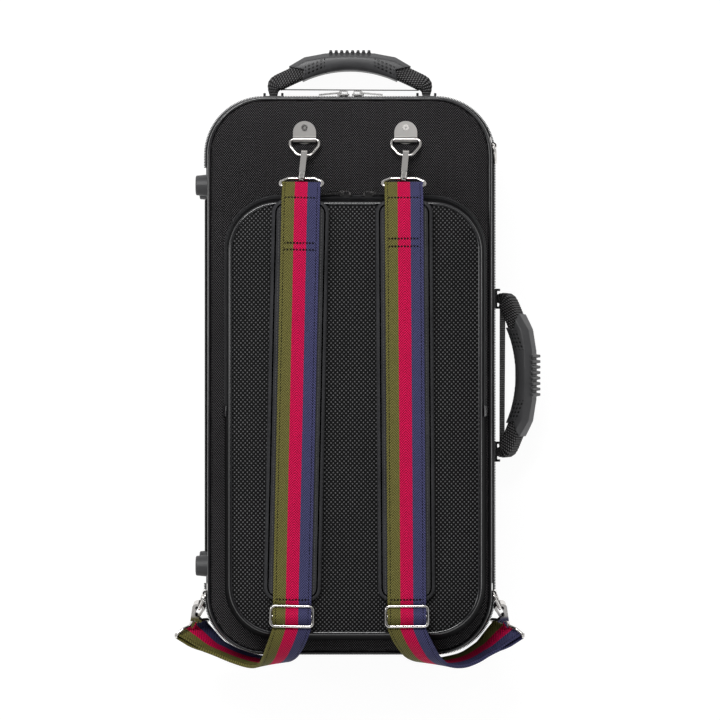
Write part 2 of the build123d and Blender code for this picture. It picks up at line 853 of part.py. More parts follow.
def strap_webbing(side):
    bar_y = upper_bar(side).Y
    bar_z = upper_bar(side).Z
    top = strap_top()
    weave = top - buckle_lift
    over = webbing_bore + webbing_thickness / 2
    wrap = math.radians(webbing_wrap)
    route = [
        (bar_y - 0.2, bar_z + over),
        (bar_y - 4, bar_z + over + 3.2),
        (bar_y - 9, bar_z + over + 9),
        (pad_top_y + 3, top - 2),
        (pad_top_y - 1.5, top),
        (pad_end_y + 1.5, top),
        (pad_end_y - 3.4, weave - 1.7),
        (buckle_y + 9, weave - 1.8),
        (buckle_y + 3, weave + 3.2),
        (buckle_y - 3, weave + 3.2),
        (buckle_y - 9, weave - 1.8),
        (buckle_y - webbing_end, weave - 3),
    ]
    face = ribbon_face(route, webbing_thickness)
    fold = Pos(bar_y, bar_z) * (Circle(webbing_bore + webbing_thickness) - Circle(webbing_bore))
    under = [
        (bar_y - over * math.sin(wrap), bar_z - over * math.cos(wrap)),
        (bar_y - 7, bar_z + 2.5),
        (bar_y - 10, bar_z + 7),
    ]
    back = ribbon_face(under, webbing_thickness)
    profile = face + fold + back
    bore = Pos(bar_y, bar_z) * Circle(webbing_bore)
    strip = extrude(profile - bore, amount=webbing_width / 2, both=True)
    return strap_place(side) * Plane.YZ.location * strip


def buckle(side):
    height = strap_top() - buckle_lift + buckle_bar_rise
    frame = cord_round(RectangleRounded(buckle_width, buckle_length, buckle_corner), buckle_wire)
    bar = Rot(0, 90, 0) * Cylinder(buckle_bar, buckle_width)
    return strap_place(side) * Pos(0, buckle_y, height) * (frame + bar)


def mirrored(point, side):
    return Vector(side * point.X, point.Y, point.Z)


def tail_sections(side):
    # centre of each section and the direction towards the inner edge
    by_buckle = Vector(strap_end_x, buckle_y, strap_top())
    by_corner = Vector(rim_width / 2, -rim_length / 2, hinge_z)
    sections = []
    for start, edges in ((by_buckle, tail_by_buckle), (by_corner, tail_by_corner)):
        for outer, inner, share in edges:
            sway = Vector(tail_sway[side] * share, 0, 0)
            outer = start + Vector(*outer) + sway
            inner = start + Vector(*inner) + sway
            centre = (outer + inner) * 0.5
            inward = inner - outer
            sections.append((mirrored(centre, side), mirrored(inward, side)))
    return sections


def tail_route(side):
    height = strap_top() - buckle_lift - tail_drop
    end = strap_place(side) * Pos(0, buckle_y - webbing_end - tail_gap, height)
    bar = lower_loop_place(side) * Pos(loop_bar, 0, 0)
    inward = ((bar * Pos(0, 0, 1)).position - bar.position) * -side
    lead = (bar * Pos(tail_lead, 0, 0)).position
    first = [(end.position, Vector(-side, 0, 0))]
    return first + tail_sections(side) + [(lead, inward), (bar.position, inward)]


def strap_tail(side):
    route = tail_route(side)
    sections = []
    for index, (centre, inward) in enumerate(route):
        before = route[max(index - 1, 0)][0]
        after = route[min(index + 1, len(route) - 1)][0]
        across = inward.normalized()
        along = after - before
        along = along - across * along.dot(across)
        plane = Plane(origin=centre, x_dir=across, z_dir=along.normalized())
        sections.append(plane * Rectangle(webbing_width, tail_thickness))
    band = loft(sections, ruled=True)
    bar = lower_loop_place(side) * Pos(loop_bar, 0, 0)
    fold = bar * Cylinder(webbing_bore + webbing_thickness, webbing_width)
    bore = bar * Cylinder(webbing_bore, 2 * webbing_width)
    return band + fold - bore


# Everything, node by node
def build_nodes():
    nodes = {}
    for half, depth, place in (("base", base_depth, to_base), ("lid", lid_depth, to_lid)):
        nodes[half + "_shell"] = place(shell_half(depth))
        nodes[half + "_piping"] = place(edge_piping(depth))
        nodes[half + "_zip_tape"] = place(zip_tape(depth))
        nodes[half + "_zip_teeth"] = place(zip_teeth(depth))
        nodes[half + "_hinge_band"] = place(hinge_band(depth))
        nodes[half + "_feet"] = group(*[place(foot) for foot in feet(depth)])
        nodes[half + "_foot_screws"] = group(*[place(screw) for screw in foot_screws(depth)])
    nodes["base_lining"] = base_lining()
    nodes["lid_lining"] = to_lid(lid_lining())

    core = handle_core()
    grip = whole_grip()
    handles = (
        ("top_handle", top_handle_place(), 0),
        ("side_handle", side_handle_place(), side_handle_lift),
    )
    for name, place, lift in handles:
        nodes[name + "_webbing"] = place * Rot(lift, 0, 0) * core
        nodes[name + "_grip"] = place * Rot(lift, 0, 0) * grip

    places = [place for name, place, lift in handles]
    nodes["handle_brackets"] = group(*[bracket for place in places for bracket in handle_brackets(place)])
    nodes["handle_pins"] = group(*[pin for place in places for pin in handle_pins(place)])

    nodes["pocket_gusset"] = to_face(pocket_gusset())
    nodes["pocket_panel"] = to_face(pocket_panel())
    nodes["pocket_piping"] = to_face(pocket_piping())
    nodes["pocket_zip"] = to_face(pocket_zip())
    nodes["pocket_zip_patches"] = to_face(pocket_zip_patches())

    for name, direction in (("left", -1), ("right", 1)):
        place = main_zip_place(zip_meet_x + direction * zip_half_pitch)
        nodes["main_slider_" + name] = place * slider(teeth_proud, tape_thickness, (1,))
        nodes["main_pull_" + name] = place * pull_tab(direction, teeth_proud)
        place = pocket_zip_place(pocket_zip_meet_x + direction * pocket_zip_half_pitch)
        both_lips = slider(pocket_teeth_proud, pocket_tape_thickness, (1, -1))
        nodes["pocket_slider_" + name] = place * both_lips
        nodes["pocket_pull_" + name] = place * pull_tab(direction, pocket_teeth_proud)

    anchors = {"left": anchor_left_x, "right": anchor_right_x}
    for name, x in anchors.items():
        nodes["upper_hook_" + name] = upper_hook_place(x) * hook_body()
        nodes["upper_gate_" + name] = upper_hook_place(x) * hook_gate()
    face_places = [face_ring_place(x) for x in anchors.values()]
    face_plate = ring_plate(face_plate_width, face_plate_length, True)
    nodes["anchor_plates"] = group(*[place * face_plate for place in face_places])
    nodes["anchor_rivets"] = group(*[place * face_rivet() for place in face_places])
    nodes["anchor_rings"] = group(*[place * d_ring(face_ring_tilt) for place in face_places])
    nodes["upper_loops"] = group(*[upper_loop_place(x) * strap_loop() for x in anchors.values()])

    lower_places = [lower_ring_place(side) for side in (-1, 1)]
    plates = [wall_plate(place) for place in [shoulder_ring_place()] + lower_places]
    nodes["side_ring_plates"] = group(*plates)
    nodes["shoulder_ring"] = shoulder_ring_place() * d_ring(shoulder_ring_tilt)
    nodes["lower_rings"] = group(*[place * d_ring(lower_ring_tilt) for place in lower_places])
    nodes["lower_loops"] = group(*[lower_loop_place(side) * strap_loop() for side in (-1, 1)])

    for name, side in (("left", -1), ("right", 1)):
        nodes["lower_hook_" + name] = lower_hook_place(side) * hook_body()
        nodes["lower_gate_" + name] = lower_hook_place(side) * hook_gate()
        nodes["strap_pad_" + name] = strap_pad(side)
        nodes["strap_webbing_" + name] = strap_webbing(side)
        nodes["strap_tail_" + name] = strap_tail(side)
    nodes["strap_buckles"] = group(buckle(-1), buckle(1))
    return nodes


os.makedirs("parts", exist_ok=True)
for node, shape in build_nodes().items():
    export_step(shape, f"parts/{node}.step")
    print(node, round(shape.volume, 1))
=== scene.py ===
import json
import math

import bmesh
import bpy
from mathutils import Matrix, Vector

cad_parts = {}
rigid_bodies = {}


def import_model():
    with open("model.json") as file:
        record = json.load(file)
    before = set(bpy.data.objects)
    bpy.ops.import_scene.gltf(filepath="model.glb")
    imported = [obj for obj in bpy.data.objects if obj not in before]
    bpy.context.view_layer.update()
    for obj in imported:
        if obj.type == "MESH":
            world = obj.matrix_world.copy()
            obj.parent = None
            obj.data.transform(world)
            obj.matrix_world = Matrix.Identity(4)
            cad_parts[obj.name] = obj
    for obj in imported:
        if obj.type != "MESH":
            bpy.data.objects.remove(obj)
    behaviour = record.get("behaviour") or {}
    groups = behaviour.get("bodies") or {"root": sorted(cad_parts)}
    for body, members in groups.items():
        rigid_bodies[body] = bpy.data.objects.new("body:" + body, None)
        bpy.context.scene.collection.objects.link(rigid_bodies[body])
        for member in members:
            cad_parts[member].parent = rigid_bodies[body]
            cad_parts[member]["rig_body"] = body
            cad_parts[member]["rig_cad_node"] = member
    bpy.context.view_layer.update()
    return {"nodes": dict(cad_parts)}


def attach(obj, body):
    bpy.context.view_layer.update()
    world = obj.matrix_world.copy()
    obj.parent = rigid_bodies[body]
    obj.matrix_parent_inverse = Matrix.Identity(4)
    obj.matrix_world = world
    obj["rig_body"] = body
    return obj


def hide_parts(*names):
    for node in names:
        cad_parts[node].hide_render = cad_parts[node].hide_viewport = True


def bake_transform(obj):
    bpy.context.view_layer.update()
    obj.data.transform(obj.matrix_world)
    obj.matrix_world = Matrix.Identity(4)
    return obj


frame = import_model()
nodes = frame["nodes"]
mm = 0.001

# The case lies on its back, straps up. Measures are in millimetres and lengths in Blender in metres.
case = {
    "rimWidth": 312.0, "rimLength": 602.0, "rimCorner": 62.0,
    "faceWidth": 298.0, "faceLength": 588.0, "faceCorner": 60.0,
    "edgeDrop": 3.0, "wall": 6.0, "piping": 1.9, "cornerSteps": 16,
    # inset and rise of each fold of the face, from the piping inwards
    "edgeFolds": ((2.3, -0.3), (0.9, 2.4), (1.8, 0.9), (26.0, 0.0)),
}
halves = {
    "base": {"rimHeight": 76.0, "depth": 76.0, "turn": math.pi},
    "lid": {"rimHeight": 76.4, "depth": 74.0, "turn": 0.0},
}
lidTop = 150.4
hingeHeight = 76.2


# Camera and light

photoCamera = {"place": (11.1, 16.7, 3150.0), "lens": 141.5, "sensor": 36.0}


def setCamera():
    bpy.ops.object.camera_add(location=metres(photoCamera["place"]), rotation=(0, 0, 0))
    camera = bpy.context.object
    camera.name = "photoCamera"
    camera.data.lens = photoCamera["lens"]
    camera.data.sensor_width = photoCamera["sensor"]
    camera.data.clip_end = 20
    bpy.context.scene.camera = camera


softboxes = {
    "keyBox": {"place": (-0.5, 1.5, 2.5), "aim": (0, 0, 0.1), "size": (1.5, 0.6), "power": 46},
    "fillBox": {"place": (-1.8, 0.2, 2.0), "aim": (0, 0, 0.1), "size": (0.5, 1.8), "power": 9},
    "lowBox": {"place": (0.6, -1.9, 1.8), "aim": (0, 0, 0.1), "size": (1.6, 0.6), "power": 6},
    "plateBox": {"place": (0.505, 0.73, 2.5), "aim": (0.505, 0.73, 0), "size": (0.82, 0.7), "power": 4},
}


def setLights():
    for name, box in softboxes.items():
        bpy.ops.object.light_add(type="AREA", location=box["place"])
        lamp = bpy.context.object
        lamp.name = name
        lamp.data.shape = "RECTANGLE"
        lamp.data.size, lamp.data.size_y = box["size"]
        lamp.data.energy = box["power"]
        aim = Vector(box["aim"]) - Vector(box["place"])
        lamp.rotation_euler = aim.to_track_quat("-Z", "Y").to_euler()


# Small helpers

def metres(values):
    return tuple(value * mm for value in values)


def deselectAll():
    if bpy.context.object and bpy.context.object.mode != "OBJECT":
        bpy.ops.object.mode_set(mode="OBJECT")
    bpy.ops.object.select_all(action="DESELECT")


def makeActive(piece, *others):
    deselectAll()
    for one in (*others, piece):
        one.select_set(True)
    bpy.context.view_layer.objects.active = piece


def nameNew(name):
    piece = bpy.context.object
    piece.name = name
    piece.data.name = name
    return piece


def edit(piece, mode="FACE"):
    makeActive(piece)
    bpy.ops.object.mode_set(mode="EDIT")
    bpy.ops.mesh.select_mode(type=mode)
    bpy.ops.mesh.select_all(action="SELECT")


def done():
    bpy.ops.object.mode_set(mode="OBJECT")


def pick(kind, test):
    # selects the faces, edges or verts of the mesh in edit mode that pass the test
    bpy.ops.mesh.select_mode(type={"faces": "FACE", "edges": "EDGE", "verts": "VERT"}[kind])
    bpy.ops.mesh.select_all(action="DESELECT")
    mesh = bmesh.from_edit_mesh(bpy.context.object.data)
    mesh.normal_update()
    for item in getattr(mesh, kind):
        if test(item):
            item.select_set(True)
    mesh.select_flush_mode()
    bmesh.update_edit_mesh(bpy.context.object.data)


def middle(item):
    if isinstance(item, bmesh.types.BMFace):
        return item.calc_center_median() / mm
    return sum((vert.co for vert in item.verts), Vector()) / len(item.verts) / mm


def modify(piece, kind, **settings):
    makeActive(piece)
    modifier = piece.modifiers.new(kind.lower(), kind)
    for name, value in settings.items():
        setattr(modifier, name, value)
    bpy.ops.object.modifier_apply(modifier=modifier.name)


def settle(piece, place=(0, 0, 0), turn=(0, 0, 0)):
    # puts a piece made at the origin where it belongs, and keeps the place in its mesh
    makeActive(piece)
    piece.location = metres(place)
    piece.rotation_euler = turn
    bpy.ops.object.transform_apply(location=True, rotation=True, scale=True)
    return piece


def toHalf(piece, half):
    return settle(piece, (0, 0, halves[half]["rimHeight"]), (halves[half]["turn"], 0, 0))


def facesOut(piece):
    edit(piece)
    bpy.ops.mesh.remove_doubles(threshold=0.00001)
    bpy.ops.mesh.select_all(action="SELECT")
    bpy.ops.mesh.normals_make_consistent(inside=False)
    done()


def outward(wall):
    # turns a single-sided wall to face away from the middle of the case
    face = max(wall.data.polygons, key=lambda one: abs(one.center.x))
    if face.normal.x * face.center.x < 0:
        edit(wall)
        bpy.ops.mesh.flip_normals()
        done()


def smooth(piece, angle=35):
    makeActive(piece)
    bpy.ops.object.shade_smooth_by_angle(angle=math.radians(angle))


def copyOf(piece, name):
    twin = piece.copy()
    twin.data = piece.data.copy()
    twin.name = name
    twin.data.name = name
    bpy.context.scene.collection.objects.link(twin)
    return twin


def cadCopy(node, name):
    # a merged copy of a CAD node's mesh, to work on
    piece = copyOf(nodes[node], name)
    piece.parent = None
    piece.rotation_mode = "XYZ"
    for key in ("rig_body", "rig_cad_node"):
        if key in piece:
            del piece[key]
    piece.data.materials.clear()
    edit(piece)
    bpy.ops.mesh.remove_doubles(threshold=0.000001)
    done()
    return piece


def roundedLoop(name, width, length, corner, height, centre=(0, 0), face=False):
    # outline of a rounded rectangle, or its face
    deselectAll()
    bpy.ops.mesh.primitive_plane_add(size=1, location=metres((centre[0], centre[1], height)))
    loop = nameNew(name)
    loop.scale = metres((width, length, 1000))
    makeActive(loop)
    bpy.ops.object.transform_apply(location=True, rotation=True, scale=True)
    edit(loop, "VERT")
    bpy.ops.mesh.bevel(offset=corner * mm, segments=case["cornerSteps"], affect="VERTICES")
    if not face:
        bpy.ops.mesh.select_all(action="SELECT")
        bpy.ops.mesh.delete(type="ONLY_FACE")
    done()
    return loop


def bridged(name, low, high, cuts=0):
    # wall between two outlines
    makeActive(low, high)
    bpy.ops.object.join()
    wall = nameNew(name)
    edit(wall, "EDGE")
    bpy.ops.mesh.bridge_edge_loops(number_cuts=cuts, interpolation="LINEAR")
    bpy.ops.mesh.select_all(action="SELECT")
    bpy.ops.mesh.normals_make_consistent(inside=False)
    done()
    return wall


def wallOutline(height, depth, grow=0.0):
    # outline of a half's side wall at a height above its rim
    share = height / (depth - case["edgeDrop"])
    width = case["rimWidth"] + (case["faceWidth"] - case["rimWidth"]) * share
    length = case["rimLength"] + (case["faceLength"] - case["rimLength"]) * share
    corner = case["rimCorner"] + (case["faceCorner"] - case["rimCorner"]) * share
    return width + 2 * grow, length + 2 * grow, corner + grow, height


def weaveMap(piece, width, length, corner, centre=(0, 0)):
    # lays the cloth flat on level faces and along the wall round the outline, in metres
    layer = piece.data.uv_layers.get("weave") or piece.data.uv_layers.new(name="weave")
    straightX, straightY = width / 2 - corner, length / 2 - corner
    quarter = straightX + straightY + corner * math.pi / 2

    def around(x, y):
        aside, along = abs(x), abs(y)
        if along <= straightY:
            part = along
        elif aside <= straightX:
            part = straightY + corner * math.pi / 2 + straightX - aside
        else:
            part = straightY + corner * math.atan2(along - straightY, aside - straightX)
        if x >= 0:
            return part if y >= 0 else 4 * quarter - part
        return 2 * quarter - part if y >= 0 else 2 * quarter + part

    for face in piece.data.polygons:
        corners = [piece.data.vertices[i].co / mm for i in face.vertices]
        if abs(face.normal.z) > 0.75:
            places = [(c.x, c.y) for c in corners]
        else:
            turns = [around(c.x - centre[0], c.y - centre[1]) for c in corners]
            if max(turns) - min(turns) > 2 * quarter:
                turns = [turn + 4 * quarter if turn < 2 * quarter else turn for turn in turns]
            places = [(turn, c.z) for turn, c in zip(turns, corners)]
        for index, place in zip(face.loop_indices, places):
            layer.data[index].uv = (place[0] * mm, place[1] * mm)


def smoothRoute(points, steps):
    # Catmull-Rom curve through the points, each a Vector, with steps on each run
    made = []
    for index in range(len(points) - 1):
        before = points[max(index - 1, 0)]
        start, end = points[index], points[index + 1]
        after = points[min(index + 2, len(points) - 1)]
        for step in range(steps):
            t = step / steps
            made.append(
                0.5 * (2 * start + (end - before) * t + (2 * before - 5 * start + 4 * end - after) * t * t
                       + (3 * start - before - 3 * end + after) * t ** 3)
            )
    return made + [points[-1]]


def layStrip(name, centres, acrosses, width, thickness, columns=8):
    # a flat strip of webbing, grid by grid, laid along a route and then given its thickness
    rows = len(centres) - 1
    deselectAll()
    bpy.ops.mesh.primitive_grid_add(x_subdivisions=columns, y_subdivisions=rows, size=1)
    strip = nameNew(name)
    lengths = [0.0]
    for before, after in zip(centres, centres[1:]):
        lengths.append(lengths[-1] + (after - before).length)
    layer = strip.data.uv_layers.new(name="weave")
    for loop in strip.data.loops:
        flat = strip.data.vertices[loop.vertex_index].co
        row = round((flat.y + 0.5) * rows)
        layer.data[loop.index].uv = ((flat.x + 0.5) * width * mm, lengths[row] * mm)
    for vert in strip.data.vertices:
        row = round((vert.co.y + 0.5) * rows)
        vert.co = (centres[row] + acrosses[row] * vert.co.x * width) * mm
    modify(strip, "SOLIDIFY", thickness=thickness * mm, offset=0)
    return strip


# Shader maths

class Signal:
    # a socket that Python sums can be written with
    def __init__(self, finish, socket):
        self.finish, self.socket = finish, socket

    def __add__(self, other):
        return self.finish.maths("ADD", self, other)

    def __sub__(self, other):
        return self.finish.maths("SUBTRACT", self, other)

    def __rsub__(self, other):
        return self.finish.maths("SUBTRACT", other, self)

    def __mul__(self, other):
        return self.finish.maths("MULTIPLY", self, other)

    def __truediv__(self, other):
        return self.finish.maths("DIVIDE", self, other)

    __radd__, __rmul__ = __add__, __mul__


class Finish:
    # one material, or the world, and the nodes in it
    def __init__(self, name, kind="materials"):
        self.material = getattr(bpy.data, kind).new(name)
        self.material.use_nodes = True
        self.tree = self.material.node_tree
        self.tree.nodes.clear()

    def node(self, kind, settings=None, inputs=None, output=0):
        made = self.tree.nodes.new("ShaderNode" + kind)
        for name, value in (settings or {}).items():
            if name == "stops":
                ramp = made.color_ramp.elements
                ramp[0].position, ramp[1].position = value[0][0], value[-1][0]
                for position, colour in value[1:-1]:
                    ramp.new(position)
                for stop, (position, colour) in zip(ramp, value):
                    stop.color = (*colour, 1)
            else:
                setattr(made, name, value)
        for key, value in (inputs or {}).items():
            socket = made.inputs[key]
            if isinstance(value, Signal):
                self.tree.links.new(value.socket, socket)
            else:
                socket.default_value = value
        return Signal(self, made.outputs[output]) if made.outputs else None

    def maths(self, operation, *values):
        return self.node("Math", {"operation": operation}, dict(enumerate(values)))

    def ramp(self, value, low, high):
        # 0 below low, 1 above high
        return self.node("MapRange", {"interpolation_type": "SMOOTHSTEP"}, {0: value, 1: low, 2: high})

    def mixColour(self, factor, first, second):
        colours = [one if isinstance(one, Signal) else (*one, 1) for one in (first, second)]
        return self.node("Mix", {"data_type": "RGBA"}, {0: factor, 6: colours[0], 7: colours[1]}, 2)

    def noise(self, scale, detail=2.0, squash=(1, 1, 1)):
        where = self.node("TexCoord", output=3)
        where = self.node("Mapping", {}, {"Vector": where, "Scale": squash})
        return self.node("TexNoise", {}, {"Vector": where, "Scale": scale, "Detail": detail})

    def clothPlace(self):
        # place on the cloth in millimetres, from the weave map
        flat = self.node("UVMap", {"uv_map": "weave"})
        x = self.node("SeparateXYZ", {}, {0: flat}, 0)
        y = self.node("SeparateXYZ", {}, {0: flat}, 1)
        return x * 1000, y * 1000

    def surface(self, normal=None, **sockets):
        values = {name.replace("_", " "): value for name, value in sockets.items()}
        for name, value in values.items():
            if isinstance(value, tuple) and len(value) == 3 and "Color" in name:
                values[name] = (*value, 1)
        if normal is not None:
            values["Normal"] = normal
        shader = self.node("BsdfPrincipled", {}, values)
        self.node("OutputMaterial", {}, {"Surface": shader})
        return self.material

    def bump(self, height, depth, strength=1.0, normal=None):
        inputs = {"Strength": strength, "Distance": depth * mm, "Height": height}
        if normal is not None:
            inputs["Normal"] = normal
        return self.node("Bump", {}, inputs)

    def wave(self, value, pitch, shift=0.0):
        return self.maths("SINE", value * (2 * math.pi / pitch) + shift)

    def herringbone(self, x, y, pitch, band):
        # dots on a diagonal lattice, joined to one side or the other in turn, from -1 to 1
        side = self.maths("SIGN", self.wave(x, 2 * band))
        dots = self.wave(x, pitch[0]) * self.wave(y, pitch[1])
        lines = self.maths("SINE", (x * side * (1 / pitch[0]) + y * (1 / pitch[1])) * (2 * math.pi))
        return dots * 0.5 + lines * 0.5

    def dashes(self, along, across, line, pitch, half=0.4):
        # 1 on the stitches of a seam that runs at a distance across the cloth
        near = 1 - self.ramp(self.maths("ABSOLUTE", across - line), half * 0.6, half * 1.3)
        return near * self.ramp(self.wave(along, pitch), -0.55, -0.2)


# Finishes

twill = {"pitch": (2.4, 2.83), "band": 19.0, "gap": (0.0008, 0.0008, 0.001), "thread": (0.25, 0.238, 0.25)}


def twillCloth():
    f = Finish("twillCloth")
    x, y = f.clothPlace()
    weave = f.ramp(f.herringbone(x, y, twill["pitch"], twill["band"]), 0.25, 1.0)
    worn = f.noise(9, 3) * 0.6 + 0.7
    colour = f.mixColour(weave * worn, twill["gap"], twill["thread"])
    return f.surface(
        Base_Color=colour, Roughness=0.75, Specular_IOR_Level=0.12, normal=f.bump(weave, 0.4, 0.6),
    )


mesh3d = {"pitch": (4.5, 4.75), "hole": (0.001, 0.001, 0.0012), "thread": (0.25, 0.25, 0.257)}


def airMesh():
    f = Finish("airMesh")
    x, y = f.clothPlace()
    lattice = f.wave(x, mesh3d["pitch"][0]) * f.wave(y, mesh3d["pitch"][1])
    thread = 1 - f.ramp(lattice, -0.88, -0.15)
    strand = f.wave(x + y, 0.8) * 0.25 + f.wave(x - y, 0.8) * 0.25
    worn = f.noise(12, 3) * 0.4 + 0.45
    colour = f.mixColour(thread * worn * (strand * 0.5 + 0.8), mesh3d["hole"], mesh3d["thread"])
    return f.surface(
        Base_Color=colour, Roughness=0.65, Specular_IOR_Level=0.15,
        normal=f.bump(thread + strand * 0.2, 0.9, 0.6),
    )


def shinyVinyl():
    f = Finish("shinyVinyl")
    grain = f.noise(900, 2)
    patch = f.noise(25, 2)
    return f.surface(
        Base_Color=f.mixColour(patch, (0.006, 0.006, 0.007), (0.0096, 0.0096, 0.0112)),
        Roughness=patch * 0.12 + 0.11, Specular_IOR_Level=0.75, Coat_Weight=0.25,
        Coat_Roughness=0.1, normal=f.bump(grain, 0.06, 0.3),
    )


def bindingCloth():
    # fine ribbed cloth of the gusset and the hinge
    f = Finish("bindingCloth")
    x, y = f.clothPlace()
    ribs = f.wave(x, 1.3) * 0.5 + f.wave(x + y * 0.2, 0.55) * 0.2 + 0.5
    colour = f.mixColour(ribs * (f.noise(14, 3) * 0.6 + 0.6), (0.002, 0.002, 0.0022), (0.012, 0.012, 0.013))
    return f.surface(
        Base_Color=colour, Roughness=0.7, Specular_IOR_Level=0.06, normal=f.bump(ribs, 0.15, 0.6),
    )


def tapeCloth():
    f = Finish("zipTapeCloth")
    x, y = f.clothPlace()
    ribs = f.wave(x, 1.5) * f.wave(y, 1.1) * 0.5 + 0.5
    colour = f.mixColour(ribs, (0.006, 0.006, 0.007), (0.03, 0.03, 0.032))
    return f.surface(
        Base_Color=colour, Roughness=0.7, Specular_IOR_Level=0.25, normal=f.bump(ribs, 0.2, 0.6),
    )


def coilNylon():
    f = Finish("coilNylon")
    shade = f.noise(300, 1)
    return f.surface(
        Base_Color=f.mixColour(shade, (0.012, 0.012, 0.013), (0.03, 0.03, 0.033)), Roughness=0.32,
    )


def plushPile():
    f = Finish("plushPile")
    pile = f.noise(420, 3)
    brushed = f.noise(16, 3, (1, 0.35, 1))
    colour = f.mixColour(pile * 0.5 + brushed * 0.5, (0.008, 0.008, 0.01), (0.05, 0.05, 0.056))
    return f.surface(
        Base_Color=colour, Roughness=0.95, Specular_IOR_Level=0.1, Sheen_Weight=0.35, Sheen_Roughness=0.4,
        normal=f.bump(pile, 0.5, 0.7),
    )


def footRubber():
    f = Finish("footRubber")
    patch = f.noise(60, 3)
    grain = f.noise(1400, 2)
    return f.surface(
        Base_Color=f.mixColour(patch, (0.05, 0.05, 0.052), (0.075, 0.075, 0.078)),
        Roughness=patch * 0.15 + 0.4, Specular_IOR_Level=0.45, normal=f.bump(grain, 0.08, 0.5),
    )


gripDots = {"inner": 27.0, "outer": 48.0, "pitch": (4.4, 3.9), "rise": 0.42, "level": 48.5, "half": 5.5}


def gripRubber():
    # satin rubber with two groups of small hollows, placed by the grip's own map; the hollows carry painted
    # shade
    f = Finish("gripRubber")
    x, y = f.clothPlace()
    aside = f.maths("ABSOLUTE", x)
    along = (aside - gripDots["inner"]) * (2 * math.pi / gripDots["pitch"][0])
    height = y + aside * gripDots["rise"] - gripDots["level"]
    level = height * (2 * math.pi / gripDots["pitch"][1])
    lattice = f.maths("COSINE", along * 0.5) * f.maths("COSINE", level * 0.5)
    spots = f.ramp(f.maths("ABSOLUTE", lattice), 0.6, 0.74)
    inner, outer = gripDots["inner"], gripDots["outer"]
    group = f.ramp(aside, inner, inner + 1) * (1 - f.ramp(aside, outer, outer + 1))
    high = f.maths("ABSOLUTE", height)
    hollow = spots * group * (1 - f.ramp(high, gripDots["half"], gripDots["half"] + 0.8))
    patch = f.noise(60, 3)
    colour = f.mixColour(patch, (0.05, 0.05, 0.053), (0.085, 0.085, 0.088))
    # painted shade: the hollows are coloured near black for the shade that falls in them
    colour = f.mixColour(hollow, colour, (0.003, 0.003, 0.003))
    return f.surface(
        Base_Color=colour, Roughness=patch * 0.12 + 0.34, Specular_IOR_Level=0.5,
        normal=f.bump(1 - hollow, 1.0, 0.9),
    )


def ribbedWebbing():
    # thick ribs across the roll, each a row of small knots
    f = Finish("ribbedWebbing")
    x, y = f.clothPlace()
    rib = f.wave(y, handle["ribPitch"]) * 0.5 + 0.5
    knots = f.wave(x + y * 0.5, 2.6) * 0.5 + 0.5
    threads = rib * knots
    worn = f.noise(60, 2) + 0.5
    colour = f.mixColour(threads * worn, (0.003, 0.003, 0.003), (0.24, 0.235, 0.24))
    return f.surface(
        Base_Color=colour, Roughness=0.7, Specular_IOR_Level=0.25, normal=f.bump(threads, 0.8, 0.8),
    )


def metal(name, colour, roughness, metallic=1.0):
    # polish that varies a little
    f = Finish(name)
    patch = f.noise(70, 2)
    return f.surface(
        Base_Color=f.mixColour(patch, colour, tuple(0.86 * c for c in colour)),
        Metallic=metallic, Roughness=patch * 0.06 + roughness,
    )


stripes = {
    "olive": (0.18, 0.165, 0.045), "crimson": (0.74, 0.004, 0.085), "navy": (0.07, 0.07, 0.17),
    "width": 40.0, "weave": (2.5, 2.7), "stitchIn": 3.0, "stitchPitch": 3.4,
    "crossPitch": 3.3, "crossHalf": 1.0,
    "crossLeft": (47.6, 95.0, 102.0, 467.0), "crossRight": (47.6, 90.3, 98.5, 467.0),  # along the webbing
}


def stripedWebbing(name, crossLines=()):
    f = Finish(name)
    x, y = f.clothPlace()
    third = stripes["width"] / 3
    weave = f.ramp(f.herringbone(x, y, stripes["weave"], third / 2), -0.8, 0.9)
    first = f.ramp(x, third - 0.25, third + 0.25)
    second = f.ramp(x, 2 * third - 0.25, 2 * third + 0.25)
    colour = f.mixColour(first, stripes["olive"], stripes["crimson"])
    colour = f.mixColour(second, colour, stripes["navy"])
    worn = f.noise(30, 3) * 0.2 + f.noise(700, 1) * 0.5
    shade = f.mixColour(weave * (worn + 0.65), (0.22, 0.22, 0.22), (1.32, 1.32, 1.32))
    colour = f.node("Mix", {"data_type": "RGBA", "blend_type": "MULTIPLY"}, {0: 1.0, 6: colour, 7: shade}, 2)
    stitch = f.dashes(y, x, stripes["stitchIn"], stripes["stitchPitch"])
    edge = stripes["width"] - stripes["stitchIn"]
    stitch = f.maths("MAXIMUM", stitch, f.dashes(y, x, edge, stripes["stitchPitch"]))
    inside = f.ramp(x, 3.5, 4.0) * (1 - f.ramp(x, 36.0, 36.5))
    for line in crossLines:
        row = f.dashes(x, y, line, stripes["crossPitch"], stripes["crossHalf"])
        stitch = f.maths("MAXIMUM", stitch, row * inside)
    colour = f.mixColour(stitch, colour, (0.002, 0.002, 0.002))
    return f.surface(
        Base_Color=colour, Roughness=0.65, Specular_IOR_Level=0.12,
        normal=f.bump(weave - stitch * 1.5, 0.3, 0.7),
    )


padStitch = {"pitch": 3.2, "fromMiddle": 22.2}


def padCloth():
    # brushed cloth with a row of stitches beside the webbing
    f = Finish("padCloth")
    x, y = f.clothPlace()
    brushed = f.noise(520, 2, (1, 0.2, 1))
    cloud = f.noise(24, 3)
    colour = f.mixColour(brushed * 0.5 + cloud * 0.5, (0.014, 0.014, 0.015), (0.066, 0.066, 0.07))
    side = f.maths("ABSOLUTE", x)
    stitch = f.dashes(y, side, padStitch["fromMiddle"], padStitch["pitch"], 0.35)
    colour = f.mixColour(stitch, colour, (0.1, 0.1, 0.1))
    return f.surface(
        Base_Color=colour, Roughness=0.9, Specular_IOR_Level=0.08,
        normal=f.bump(brushed * 0.4 - stitch, 0.3, 0.7),
    )


